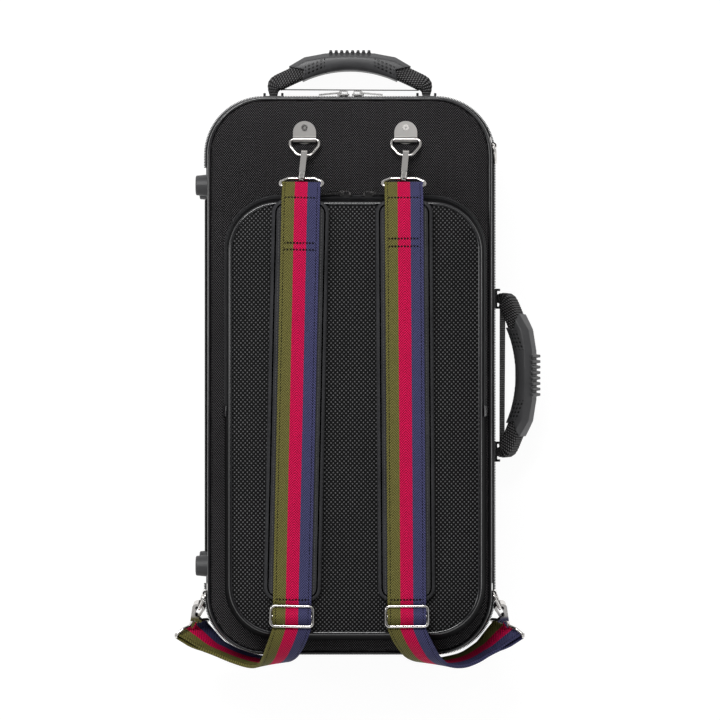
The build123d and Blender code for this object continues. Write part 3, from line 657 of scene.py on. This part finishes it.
def makeFinishes():
    return {
        "twill": twillCloth(),
        "vinyl": shinyVinyl(),
        "binding": bindingCloth(),
        "zip_tape": tapeCloth(),
        "zip_teeth": coilNylon(),
        "plush": plushPile(),
        "rubber": footRubber(),
        "grip": gripRubber(),
        "handle_webbing": ribbedWebbing(),
        "black_metal": metal("blackMetal", (0.03, 0.03, 0.032), 0.25, 0.8),
        "zip_metal": metal("gunMetal", (0.62, 0.61, 0.6), 0.2),
        "air_mesh": airMesh(),
        "nickel": metal("nickel", (0.8, 0.775, 0.75), 0.13),
        "plate": metal("plateNickel", (0.5, 0.485, 0.47), 0.27),
        "steel": metal("screwSteel", (0.2, 0.2, 0.2), 0.35),
        "strap_pad": padCloth(),
        "strap_left": stripedWebbing("leftStripes", stripes["crossLeft"]),
        "strap_right": stripedWebbing("rightStripes", stripes["crossRight"]),
        "strap_tail": stripedWebbing("tailStripes"),
    }


def dress(piece, body, slot, *materials):
    # material and body of a new piece; the slot is not used
    piece.data.materials.clear()
    for material in materials:
        piece.data.materials.append(material)
    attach(piece, body)
    return piece


# Shell halves, with their rim at height 0 and their face up

def shellCover(half, finishes):
    depth = halves[half]["depth"]
    wallTop = depth - case["edgeDrop"]
    low = roundedLoop("wallLow", *wallOutline(0, depth))
    high = roundedLoop("wallHigh", *wallOutline(wallTop, depth))
    cover = bridged(half + "Cover", low, high, 3)
    edit(cover, "EDGE")
    pick("edges", lambda edge: min(v.co.z for v in edge.verts) > (wallTop - 0.01) * mm)
    bpy.ops.mesh.edge_face_add()
    pick("faces", lambda face: face.normal.z > 0.9)
    for inset, rise in case["edgeFolds"]:
        bpy.ops.mesh.inset(thickness=inset * mm, depth=rise * mm)
    done()
    facesOut(cover)
    cover.data.materials.clear()
    modify(
        cover, "SOLIDIFY", thickness=case["wall"] * mm, offset=-1, material_offset_rim=1, material_offset=2,
    )
    toHalf(cover, half)
    weaveMap(cover, *wallOutline(0, depth)[:3])
    smooth(cover)
    dress(cover, half, "twill", finishes["twill"], finishes["vinyl"], finishes["plush"])
    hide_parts(half + "_shell")
    return cover


def pipingCord(name, width, length, corner, height, radius, centre=(0, 0)):
    cord = roundedLoop(name, width, length, corner, height, centre)
    makeActive(cord)
    bpy.ops.object.convert(target="CURVE")
    cord = bpy.context.object
    cord.data.bevel_depth = radius * mm
    cord.data.bevel_resolution = 3
    bpy.ops.object.convert(target="MESH")
    cord = bpy.context.object
    facesOut(cord)
    smooth(cord, 60)
    return cord


def facePiping(half, finishes):
    depth = halves[half]["depth"]
    cord = pipingCord(half + "Piping", *wallOutline(depth - case["edgeDrop"], depth), case["piping"])
    toHalf(cord, half)
    dress(cord, half, "vinyl", finishes["vinyl"])
    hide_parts(half + "_piping")


# Zip round three sides

zipFit = {
    "end": 226.0, "tapeLow": 1.6, "tapeHigh": 16.0, "tapeThick": 1.2,
    "pitch": 1.7, "tooth": (1.05, 2.5, 1.35), "toothOut": 1.1, "toothRise": 0.85,
}


def openOutline(name, width, length, corner, height, end):
    # the outline without the stretch on the hinge side
    path = roundedLoop(name, width, length, corner, height, face=True)
    for side in (1, -1):
        edit(path)
        bpy.ops.mesh.bisect(plane_co=(0, side * end * mm, 0), plane_no=(0, 1, 0))
        done()
    edit(path)
    bpy.ops.mesh.delete(type="ONLY_FACE")
    pick("edges", lambda edge: abs(middle(edge).x) < 1 and abs(middle(edge).y) < length / 2 - 5)
    bpy.ops.mesh.delete(type="EDGE")
    pick("edges", lambda edge: middle(edge).x < 5 - width / 2 and abs(middle(edge).y) < 5)
    bpy.ops.mesh.delete(type="EDGE")
    done()
    return path


def zipTape(half, finishes):
    depth = halves[half]["depth"]
    low = openOutline("tapeLow", *wallOutline(zipFit["tapeLow"], depth), zipFit["end"])
    high = openOutline("tapeHigh", *wallOutline(zipFit["tapeHigh"], depth), zipFit["end"])
    tape = bridged(half + "ZipTape", low, high, 1)
    outward(tape)
    modify(tape, "SOLIDIFY", thickness=zipFit["tapeThick"] * mm, offset=1)
    toHalf(tape, half)
    weaveMap(tape, *wallOutline(0, depth)[:3])
    smooth(tape)
    dress(tape, half, "zip_tape", finishes["zip_tape"])
    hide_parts(half + "_zip_tape")


def coilTooth(name, size):
    # one turn of the coil, with its corners taken off
    deselectAll()
    bpy.ops.mesh.primitive_cube_add(size=1)
    tooth = nameNew(name)
    tooth.scale = metres(size)
    bpy.ops.object.transform_apply(location=True, rotation=True, scale=True)
    edit(tooth)
    bpy.ops.mesh.bevel(offset=0.25 * min(size) * mm, segments=1, affect="EDGES")
    done()
    return tooth


def teethAlong(name, path, tooth, pitch):
    # the tooth repeated along the path and bent to it
    makeActive(path)
    bpy.ops.object.convert(target="CURVE")
    path = bpy.context.object
    path.data.dimensions = "3D"
    path.data.twist_mode = "Z_UP"
    length = path.data.splines[0].calc_length()
    count = int(length / (pitch * mm))
    tooth.name = name
    modify(
        tooth, "ARRAY", count=count, use_relative_offset=False, use_constant_offset=True,
        constant_offset_displace=(length / count, 0, 0),
    )
    modify(tooth, "CURVE", object=path, deform_axis="POS_X")
    bpy.data.objects.remove(path)
    return tooth


def zipTeeth(half, finishes):
    depth = halves[half]["depth"]
    width, length, corner = wallOutline(0, depth, zipFit["toothOut"])[:3]
    path = openOutline("teethPath", width, length, corner, zipFit["toothRise"], zipFit["end"])
    teeth = teethAlong(half + "ZipTeeth", path, coilTooth("tooth", zipFit["tooth"]), zipFit["pitch"])
    toHalf(teeth, half)
    facesOut(teeth)
    smooth(teeth, 50)
    dress(teeth, half, "zip_teeth", finishes["zip_teeth"])
    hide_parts(half + "_zip_teeth")


# Fabric hinge

hinge = {"length": 380.0, "reach": 24.0, "thick": 1.6, "blend": 7.0, "rows": 40, "columns": 36}


def hingeBand(finishes):
    deselectAll()
    bpy.ops.mesh.primitive_grid_add(x_subdivisions=hinge["columns"], y_subdivisions=hinge["rows"], size=1)
    band = nameNew("hingeBand")
    slope = (case["rimWidth"] - case["faceWidth"]) / 2 / (halves["base"]["depth"] - case["edgeDrop"])
    layer = band.data.uv_layers.new(name="weave")
    for loop in band.data.loops:
        flat = band.data.vertices[loop.vertex_index].co
        layer.data[loop.index].uv = (flat.x * hinge["length"] * mm, flat.y * 2 * hinge["reach"] * mm)
    for vert in band.data.vertices:
        rise = vert.co.y * 2 * hinge["reach"]
        inward = max(abs(rise) - 0.2, 0) * slope
        vert.co = metres((-case["rimWidth"] / 2 + inward, -vert.co.x * hinge["length"], hingeHeight + rise))
    outward(band)
    modify(band, "SOLIDIFY", thickness=hinge["thick"] * mm, offset=1)
    smooth(band, 50)
    band.data.materials.append(finishes["binding"])
    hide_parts("base_hinge_band", "lid_hinge_band")
    low, high = hingeHeight - hinge["blend"], hingeHeight + hinge["blend"]
    side = -case["rimWidth"] / 2
    metres((side, 0, low))
    metres((side, 0, high))
    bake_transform(band)


# Plush lining

def plushLining(half, finishes):
    # the fitted block with its edges rounded as stuffed plush
    lining = cadCopy(half + "_lining", half + "Lining")
    size = 3.0
    modify(lining, "REMESH", mode="VOXEL", voxel_size=size * mm)
    modify(lining, "SMOOTH", factor=0.5, iterations=4)
    smooth(lining, 80)
    dress(lining, half, "plush", finishes["plush"])
    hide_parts(half + "_lining")


# Pocket

pocket = {
    "centre": (6.0, -44.5), "baseWidth": 277.0, "baseLength": 472.0, "baseCorner": 58.0,
    "frontWidth": 261.0, "frontLength": 450.0, "frontCorner": 50.0, "depth": 33.0, "wall": 3.0,
    "crown": 7.0, "crownInset": 40.0, "crownSteps": 8, "middleInset": 7.0, "piping": 2.2,
    "swell": 1.2, "swellFrom": 0.45, "swellTo": 0.99,
    "zipHeight": 8.0, "tapeHalf": 6.0, "tapeThick": 1.0, "zipEnd": -31.0,
    "tooth": (1.0, 1.3, 1.25), "pitch": 1.5, "toothOut": 0.35, "rowHalf": 0.55,
    "patchLength": 12.0, "patchHeight": 18.0, "patchThick": 2.4, "patchEdge": 0.6,
}


def pocketOutline(height, grow=0.0):
    share = height / pocket["depth"]
    width = pocket["baseWidth"] + (pocket["frontWidth"] - pocket["baseWidth"]) * share
    length = pocket["baseLength"] + (pocket["frontLength"] - pocket["baseLength"]) * share
    corner = pocket["baseCorner"] + (pocket["frontCorner"] - pocket["baseCorner"]) * share
    return width + 2 * grow, length + 2 * grow, corner + grow, lidTop + height, pocket["centre"]


def pocketGusset(finishes):
    low = roundedLoop("gussetLow", *pocketOutline(0))
    high = roundedLoop("gussetHigh", *pocketOutline(pocket["depth"]))
    gusset = bridged("pocketGusset", low, high, 7)
    outward(gusset)
    # swells a little between the zip and the piping
    for vert in gusset.data.vertices:
        share = (vert.co.z / mm - lidTop) / pocket["depth"]
        if pocket["swellFrom"] < share < pocket["swellTo"]:
            out = Vector((vert.co.x - pocket["centre"][0] * mm, vert.co.y - pocket["centre"][1] * mm, 0))
            rise = (share - pocket["swellFrom"]) / (1 - pocket["swellFrom"])
            vert.co += out.normalized() * pocket["swell"] * mm * math.sin(math.pi * rise)
    modify(gusset, "SOLIDIFY", thickness=pocket["wall"] * mm, offset=-1)
    weaveMap(gusset, *pocketOutline(0)[:3], pocket["centre"])
    smooth(gusset, 50)
    dress(gusset, "lid", "twill", finishes["binding"])
    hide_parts("pocket_gusset")


def pocketPanel(finishes):
    # crowned panel of air mesh
    steps = pocket["crownSteps"]
    panel = roundedLoop("pocketPanel", *pocketOutline(pocket["depth"]), face=True)
    edit(panel)
    before = 0.0
    for step in range(1, steps + 1):
        rise = pocket["crown"] * math.sin(math.pi / 2 * step / steps)
        bpy.ops.mesh.inset(thickness=pocket["crownInset"] / steps * mm, depth=0)
        bpy.ops.transform.translate(value=(0, 0, (rise - before) * mm))
        before = rise
    bpy.ops.mesh.inset(thickness=pocket["middleInset"] * mm, depth=0)
    bpy.ops.mesh.select_all(action="SELECT")
    bpy.ops.mesh.normals_make_consistent(inside=False)
    done()
    if panel.data.polygons[0].normal.z < 0:
        edit(panel)
        bpy.ops.mesh.flip_normals()
        done()
    modify(panel, "SOLIDIFY", thickness=pocket["wall"] * mm, offset=-1)
    weaveMap(panel, *pocketOutline(0)[:3], pocket["centre"])
    smooth(panel, 50)
    dress(panel, "lid", "air_mesh", finishes["air_mesh"])
    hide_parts("pocket_panel")


def pocketPiping(finishes):
    width, length, corner, height, centre = pocketOutline(pocket["depth"])
    cord = pipingCord("pocketPiping", width, length, corner, height, pocket["piping"], centre)
    dress(cord, "lid", "vinyl", finishes["vinyl"])
    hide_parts("pocket_piping")


def pocketBand(name, low, high, thickness, cuts=1):
    bottom = roundedLoop("bandLow", *pocketOutline(low))
    top = roundedLoop("bandHigh", *pocketOutline(high))
    band = bridged(name, bottom, top, cuts)
    outward(band)
    modify(band, "SOLIDIFY", thickness=thickness * mm, offset=1)
    return band


def keepStretch(band, low, high):
    # keeps the part of a band between two places along the case
    for place, side in ((low, -1), (high, 1)):
        edit(band)
        bpy.ops.mesh.bisect(
            plane_co=(0, place * mm, 0), plane_no=(0, side, 0), clear_outer=True, use_fill=True
        )
        done()


def pocketZipRow(name, shift, finishes):
    # one row of teeth, from zip end to zip end over the pocket's top
    height = pocket["zipHeight"] + shift
    width, length, corner, rise, centre = pocketOutline(height, pocket["tapeThick"] + pocket["toothOut"])
    path = roundedLoop("teethPath", width, length, corner, rise, centre, face=True)
    edit(path)
    bpy.ops.mesh.bisect(plane_co=(0, pocket["zipEnd"] * mm, 0), plane_no=(0, -1, 0), clear_outer=True)
    bpy.ops.mesh.select_all(action="SELECT")
    bpy.ops.mesh.delete(type="ONLY_FACE")
    pick("edges", lambda edge: abs(middle(edge).y - pocket["zipEnd"]) < 1)
    bpy.ops.mesh.delete(type="EDGE")
    done()
    teeth = teethAlong(name, path, coilTooth("tooth", pocket["tooth"]), pocket["pitch"])
    facesOut(teeth)
    smooth(teeth, 50)
    dress(teeth, "lid", "zip_teeth", finishes["zip_teeth"])


def pocketZip(finishes):
    height, half = pocket["zipHeight"], pocket["tapeHalf"]
    tape = pocketBand("pocketZipTape", height - half, height + half, pocket["tapeThick"], 3)
    keepStretch(tape, pocket["zipEnd"], 400)
    weaveMap(tape, *pocketOutline(0)[:3], pocket["centre"])
    smooth(tape, 50)
    dress(tape, "lid", "zip_tape", finishes["zip_tape"])
    pocketZipRow("pocketZipTeethLow", -pocket["rowHalf"], finishes)
    pocketZipRow("pocketZipTeethHigh", pocket["rowHalf"], finishes)
    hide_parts("pocket_zip")


def pocketPatches(finishes):
    # end patches of the pocket's zip
    patches = pocketBand("pocketZipPatches", 0, pocket["patchHeight"], pocket["patchThick"], 5)
    keepStretch(patches, pocket["zipEnd"] - pocket["patchLength"], pocket["zipEnd"])
    modify(patches, "BEVEL", width=pocket["patchEdge"] * mm, segments=2, limit_method="ANGLE")
    weaveMap(patches, *pocketOutline(0)[:3], pocket["centre"])
    smooth(patches, 50)
    dress(patches, "lid", "vinyl", finishes["vinyl"])
    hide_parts("pocket_zip_patches")


# Handles, made at the top handle's place and copied to the side

handle = {
    "topPlace": (0.0, 305.3562, 38.0), "sidePlace": (160.3562, 0.0, 38.0), "lift": 32.0,
    "ribPitch": 2.8, "ribDepth": 0.02, "coreHalf": (8.6, 9.8), "coreCorner": 4.0,
}
coreRoute = [
    (84, -1.5, 0.48), (84, 3, 0.52), (84, 8, 0.7), (82.5, 12.6, 0.93), (79, 15.8, 1.0), (70, 20.3, 1.0),
    (57, 26.3, 1.0), (44, 31.3, 1.0), (30, 35.3, 1.0), (15, 37.7, 1.0), (0, 38.5, 1.0),
]


def layTube(name, centres, normals, scales, section, across):
    # a closed section carried along a route, with its own map round and along
    rows, columns = len(centres) - 1, len(section)
    deselectAll()
    bpy.ops.mesh.primitive_grid_add(x_subdivisions=columns, y_subdivisions=rows, size=1)
    tube = nameNew(name)
    lengths, girths = [0.0], [0.0]
    for before, after in zip(centres, centres[1:]):
        lengths.append(lengths[-1] + (after - before).length)
    for before, after in zip(section, section[1:] + section[:1]):
        girths.append(girths[-1] + (Vector(after) - Vector(before)).length)
    layer = tube.data.uv_layers.new(name="weave")
    places = []
    for vert in tube.data.vertices:
        column, row = round((vert.co.x + 0.5) * columns), round((vert.co.y + 0.5) * rows)
        places.append((girths[column] * mm, lengths[row] * mm))
        high, wide = section[column % columns]
        vert.co = (centres[row] + (normals[row] * high + across * wide) * scales[row]) * mm
    for loop in tube.data.loops:
        layer.data[loop.index].uv = places[loop.vertex_index]
    facesOut(tube)
    edit(tube, "EDGE")
    pick("edges", lambda edge: edge.is_boundary)
    bpy.ops.mesh.edge_face_add()
    done()
    facesOut(tube)
    return tube


def coreSection():
    # rounded outline of the rolled webbing
    high, wide, corner = *handle["coreHalf"], handle["coreCorner"]
    section = []
    for quarter in range(4):
        signHigh, signWide = ((1, 1), (-1, 1), (-1, -1), (1, -1))[quarter]
        for step in range(7):
            turn = math.radians(90 * quarter + 15 * step)
            section.append((
                signHigh * (high - corner) + corner * math.cos(turn),
                signWide * (wide - corner) + corner * math.sin(turn),
            ))
    return section


def handleCore():
    half = [Vector(point) for point in coreRoute]
    route = smoothRoute(half + [Vector((-p.x, p.y, p.z)) for p in reversed(half[:-1])], 14)
    centres = [Vector((place.x, place.y, 0)) for place in route]
    normals, scales, travelled = [], [], 0.0
    for index, centre in enumerate(centres):
        along = centres[min(index + 1, len(centres) - 1)] - centres[max(index - 1, 0)]
        normals.append(Vector((-along.y, along.x, 0)).normalized())
        travelled += (centre - centres[max(index - 1, 0)]).length
        rib = math.cos(2 * math.pi * travelled / handle["ribPitch"])
        scales.append(route[index].z * (1 + handle["ribDepth"] * rib))
    core = layTube("handleCore", centres, normals, scales, coreSection(), Vector((0, 0, 1)))
    smooth(core, 60)
    return core


gripBarrel = {"middle": 39.5, "fall": 8.5, "half": 9.1, "widen": 3.9, "round": 0.55, "ribFoot": 48.8}


def handleGrip():
    grip = cadCopy("top_handle_grip", "handleGrip")
    modify(grip, "REMESH", mode="VOXEL", voxel_size=0.75 * mm)
    modify(grip, "SMOOTH", factor=0.5, iterations=4)
    smooth(grip, 80)
    settle(grip, [-value for value in handle["topPlace"]])
    for vert in grip.data.vertices:
        # the faces swell into a barrel between the throat and the back
        share = (vert.co.x / mm / 50) ** 2
        level = (vert.co.y / mm - gripBarrel["middle"] + gripBarrel["fall"] * share)
        level = min(abs(level / (gripBarrel["half"] + gripBarrel["widen"] * share)), 1)
        if vert.co.y / mm < gripBarrel["ribFoot"]:
            vert.co.z *= math.sqrt(1 - gripBarrel["round"] * level ** 2.4)
    layer = grip.data.uv_layers.new(name="weave")
    for loop in grip.data.loops:
        co = grip.data.vertices[loop.vertex_index].co
        layer.data[loop.index].uv = (co.x, co.y)
    return grip


def handles(finishes):
    places = {
        "top": (handle["topPlace"], (0, 0, 0)),
        "side": (handle["sidePlace"], (math.radians(handle["lift"]), 0, -math.pi / 2)),
    }
    core, grip = handleCore(), handleGrip()
    for name, (place, turn) in places.items():
        webbing = settle(copyOf(core, name + "HandleWebbing"), place, turn)
        dress(webbing, name + "_handle", "handle_webbing", finishes["handle_webbing"])
        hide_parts(name + "_handle_webbing")
        sleeve = settle(copyOf(grip, name + "HandleGrip"), place, turn)
        dress(sleeve, name + "_handle", "rubber", finishes["grip"])
        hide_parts(name + "_handle_grip")
    for spare in (core, grip):
        bpy.data.objects.remove(spare)


# Straps

strap = {
    "width": 40.0, "thick": 1.6, "buckleY": -250.6, "endX": 60.0, "top": 198.8, "lift": 1.2,
    "padWidth": 60.0, "padThick": 7.0, "padTopY": 184.0, "padEndY": -235.0,
    "padCorner": 14.0, "padEdge": 3.2, "padLow": 190.7,
    "bore": 2.45, "wrap": 45.0, "wrapStep": 28.0, "plyGap": 0.16,
}
strapBars = {"left": (-50.3931, 199.5474, 181.4981), "right": (56.9069, 199.5474, 181.4981)}
tailBars = {
    "left": {"place": (-171.2038, -274.7548, 93.1153), "along": (0.7279, 0.3049, -0.6141)},
    "right": {"place": (171.2038, -274.7548, 93.1153), "along": (-0.7279, 0.3049, -0.6141)},
}


def strapFrame(side):
    # turn about the upper bar that the strap leans by
    bar = Vector(strapBars[side])
    sign = -1 if side == "left" else 1
    lean = math.atan2(sign * strap["endX"] - bar.x, bar.y - strap["buckleY"])
    turn = Matrix.Rotation(lean, 4, "Z")
    return Matrix.Translation((bar.x, bar.y, 0)) @ turn @ Matrix.Translation((0, -bar.y, 0))


def webbingRoute(side):
    # round the upper bar, down over the pad and through the buckle
    bar = Vector(strapBars[side])
    top, thick = strap["top"], strap["thick"]
    weave = top - strap["lift"]
    over = strap["bore"] + thick / 2
    route = [(bar.y - 13, bar.z + 9.5), (bar.y - 7, bar.z + 2.2)]
    for step in range(8):
        turn = math.radians(step * strap["wrapStep"] - strap["wrap"])
        route.append((bar.y + over * math.sin(turn), bar.z - over * math.cos(turn)))
    buckle, padTop, padEnd = strap["buckleY"], strap["padTopY"], strap["padEndY"]
    route += [(bar.y - 2, bar.z + over + 1.4), (bar.y - 9, bar.z + over + 9), (padTop + 3, top - 2)]
    route += [(place, top) for place in (padTop - 4, 150, 60, -60, -150, -215, padEnd + 2)]
    route += [(padEnd - 3.4, weave - 1.2), (buckle + 9, weave - 1.8), (buckle + 3.4, weave + 2.9)]
    route += [(buckle, weave + 3.9), (buckle - 3.4, weave + 2.9)]
    route += [(buckle - 9, weave - 1.8), (buckle - 13, weave - 3)]
    return [Vector((0, y, z)) for y, z in route]


def strapWebbing(side, finishes):
    place = strapFrame(side)
    route = smoothRoute(webbingRoute(side), 5)
    across = (place.to_3x3() @ Vector((1, 0, 0))).normalized()
    centres = [place @ point for point in route]
    acrosses = [across] * len(centres)
    webbing = layStrip("strapWebbing" + side.title(), centres, acrosses, strap["width"], strap["thick"])
    facesOut(webbing)
    smooth(webbing, 50)
    dress(webbing, "lid", "strap_stripes", finishes["strap_" + side])
    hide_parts("strap_webbing_" + side)


def strapPad(side, finishes):
    deselectAll()
    length = strap["padTopY"] - strap["padEndY"]
    centre = (0, (strap["padTopY"] + strap["padEndY"]) / 2, strap["padLow"] + strap["padThick"] / 2)
    bpy.ops.mesh.primitive_cube_add(size=1, location=metres(centre))
    pad = nameNew("strapPad" + side.title())
    pad.scale = metres((strap["padWidth"], length, strap["padThick"]))
    bpy.ops.object.transform_apply(location=True, rotation=True, scale=True)
    edit(pad)
    pick("edges", lambda edge: abs(edge.verts[0].co.z - edge.verts[1].co.z) > 1 * mm)
    bpy.ops.mesh.bevel(offset=strap["padCorner"] * mm, segments=8, affect="EDGES")
    pick("faces", lambda face: abs(face.normal.z) > 0.9)
    bpy.ops.mesh.inset(thickness=3.6 * mm, depth=0)
    pick("edges", lambda edge: abs(middle(edge).z - centre[2]) > 3 and edge.calc_face_angle(0) > 0.5)
    bpy.ops.mesh.bevel(offset=strap["padEdge"] * mm, segments=5, affect="EDGES")
    pick("faces", lambda face: abs(face.normal.z) > 0.99)
    bpy.ops.mesh.inset(thickness=2.0 * mm, depth=0)
    done()
    facesOut(pad)
    layer = pad.data.uv_layers.new(name="weave")
    for loop in pad.data.loops:
        co = pad.data.vertices[loop.vertex_index].co
        layer.data[loop.index].uv = (co.x, co.y)
    pad.data.transform(scaledFrame(side))
    smooth(pad, 50)
    dress(pad, "lid", "strap_pad", finishes["strap_pad"])
    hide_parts("strap_pad_" + side)


def scaledFrame(side):
    # the strap's frame for a mesh that is in metres
    frameInMm = strapFrame(side)
    frameInMm.translation *= mm
    return frameInMm


# sections of a tail as in the source: outer edge, inner edge and share of the sway
tailByBuckle = [
    ((24, -24.9, -7.3), (-15.5, -24.9, -12.8), 0.05), ((27.5, -35.4, -12.8), (-10.5, -35.4, -24.3), 0.15),
    ((31, -45.4, -20.8), (-4, -45.9, -40.3), 0.3),
]
tailByCorner = [
    ((-61, -3, 90.8), (-90.5, -2, 63.8), 0.55), ((-55, -7, 77.3), (-78, -3, 44.8), 0.85),
    ((-45, -7.5, 64.8), (-64.5, -2, 30.3), 1.0), ((-29, -3.5, 54.3), (-48, 0.5, 19.8), 0.8),
    ((-10.5, 3, 45.8), (-31.5, 6, 11.8), 0.4), ((9, 10, 37.8), (-15, 15, 7.8), 0.1),
]
tailSway = {"left": 0.0, "right": 14.0}


def tailRoute(side):
    sign = -1 if side == "left" else 1
    height = strap["top"] - strap["lift"] - 3.2
    first = strapFrame(side) @ Vector((0, strap["buckleY"] - 13.6, height))
    route = [(first, Vector((-sign, 0, 0)))]
    starts = (
        (Vector((strap["endX"], strap["buckleY"], strap["top"])), tailByBuckle),
        (Vector((case["rimWidth"] / 2, -case["rimLength"] / 2, hingeHeight)), tailByCorner),
    )
    for start, edges in starts:
        for outer, inner, share in edges:
            sway = Vector((tailSway[side] * share, 0, 0))
            outer, inner = start + Vector(outer) + sway, start + Vector(inner) + sway
            centre, inward = (outer + inner) / 2, (inner - outer).normalized()
            mirror = Vector((sign, 1, 1))
            route.append((centre * mirror, inward * mirror))
    bar = tailBars[side]
    route.append((Vector(bar["place"]), Vector(bar["along"])))
    return route


def strapTail(side, finishes):
    # one strip out to the hook, round its bar and back under the buckle
    route = tailRoute(side)
    centres = smoothRoute([place for place, inward in route], 6)
    inwards = [one.normalized() for one in smoothRoute([inward for place, inward in route], 6)]
    normals = []
    for index, inward in enumerate(inwards):
        along = centres[min(index + 1, len(centres) - 1)] - centres[max(index - 1, 0)]
        normals.append(along.cross(inward).normalized())
    half = strap["thick"] / 2 + strap["plyGap"] / 2
    bar, over = Vector(tailBars[side]["place"]), strap["bore"] + strap["thick"] / 2
    inwardAtBar = inwards[-1]
    beyond = centres[-1] - centres[-3]
    beyond = (beyond - inwardAtBar * beyond.dot(inwardAtBar)).normalized()
    aside = beyond.cross(inwardAtBar).normalized()
    keep = len(centres) - 4
    spread = [half + (over - half) * max(0.0, (index - keep + 5) / 5) for index in range(keep)]
    out = [centres[i] + normals[i] * spread[i] for i in range(keep)]
    back = [centres[i] - normals[i] * spread[i] for i in range(keep)]
    turns = [math.radians(angle) for angle in range(-80, 81, 20)]
    sign = 1 if normals[keep - 1].dot(aside) > 0 else -1
    fold = [bar + beyond * over * math.cos(turn) - aside * sign * over * math.sin(turn) for turn in turns]
    line = out + fold + back[::-1]
    acrosses = inwards[:keep] + [inwardAtBar] * len(fold) + inwards[:keep][::-1]
    if side == "right":
        acrosses = [-across for across in acrosses]
    tail = layStrip("strapTail" + side.title(), line, acrosses, strap["width"], strap["thick"])
    smooth(tail, 50)
    dress(tail, "lid", "strap_stripes", finishes["strap_tail"])
    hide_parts("strap_tail_" + side)


# The rest of the frame keeps its shape and gets its finish

hardFinish = {
    "plate": ["anchor_plates"],
    "rubber": ["base_feet", "lid_feet"],
    "steel": ["base_foot_screws", "lid_foot_screws"],
    "black_metal": ["handle_brackets", "handle_pins"],
    "zip_metal": [
        "main_slider_left", "main_slider_right", "main_pull_left", "main_pull_right",
        "pocket_slider_left", "pocket_slider_right", "pocket_pull_left", "pocket_pull_right",
    ],
    "nickel": [
        "upper_hook_left", "upper_hook_right", "upper_gate_left", "upper_gate_right",
        "anchor_rivets", "anchor_rings", "upper_loops", "side_ring_plates", "shoulder_ring", "lower_rings",
        "lower_loops", "lower_hook_left", "lower_hook_right", "lower_gate_left", "lower_gate_right",
        "strap_buckles",
    ],
}


def finishHardParts(finishes):
    for finish, names in hardFinish.items():
        for name in names:
            nodes[name].data.materials.clear()
            nodes[name].data.materials.append(finishes[finish])


# Floor and surroundings

floorSheet = {"size": 12.0, "under": 0.6, "colour": (0.8, 0.8, 0.8, 1), "glow": 1.12, "share": 0.84}


def whiteFloor():
    # pale sheet that looks white to the camera and in reflections, and keeps the shadow
    deselectAll()
    bpy.ops.mesh.primitive_plane_add(size=floorSheet["size"], location=(0, 0, -floorSheet["under"] * mm))
    floor = nameNew("paleFloor")
    f = Finish("paleFloor")
    seen = f.node("LightPath", output=0) + f.node("LightPath", output=3)
    seen = f.maths("MINIMUM", seen + f.node("LightPath", output=6), 1.0)
    plain = f.node("BsdfDiffuse", {}, {"Color": floorSheet["colour"]})
    bright = f.node("Emission", {}, {"Color": (1, 1, 1, 1), "Strength": floorSheet["glow"]})
    mixed = f.node("MixShader", {}, {0: seen * floorSheet["share"], 1: plain, 2: bright})
    f.node("OutputMaterial", {}, {"Surface": mixed})
    floor.data.materials.append(f.material)


studio = {
    "strength": 0.75,
    # by the height of the direction: grey all round and dark overhead
    "shades": (
        (0.0, (0.55, 0.55, 0.55)), (0.6, (0.5, 0.5, 0.5)),
        (0.9, (0.16, 0.16, 0.16)), (0.98, (0.035, 0.035, 0.037)),
    ),
}


def setWorld():
    f = Finish("studio", "worlds")
    bpy.context.scene.world = f.material
    height = f.node("SeparateXYZ", {}, {0: f.node("TexCoord", output=0)}, 2)
    shade = f.node("ValToRGB", {"stops": studio["shades"]}, {0: height})
    sky = f.node("Background", {}, {"Color": shade, "Strength": studio["strength"]})
    white = f.node("Background", {}, {"Color": (1, 1, 1, 1)})
    mixed = f.node("MixShader", {}, {0: f.node("LightPath", output=0), 1: sky, 2: white})
    f.node("OutputWorld", {}, {"Surface": mixed})


# The scene

bpy.context.scene.view_settings.view_transform = "Standard"
deselectAll()
setCamera()
setLights()
setWorld()
whiteFloor()
finishes = makeFinishes()
print("finishes made")
for half in halves:
    shellCover(half, finishes)
    facePiping(half, finishes)
    zipTape(half, finishes)
    zipTeeth(half, finishes)
    print(half, "cover, piping and zip made")
hingeBand(finishes)
for half in halves:
    plushLining(half, finishes)
print("hinge and linings made")
pocketGusset(finishes)
pocketPanel(finishes)
pocketPiping(finishes)
pocketZip(finishes)
pocketPatches(finishes)
print("pocket made")
handles(finishes)
print("handles made")
for side in ("left", "right"):
    strapPad(side, finishes)
    strapWebbing(side, finishes)
    strapTail(side, finishes)
print("straps made")
finishHardParts(finishes)
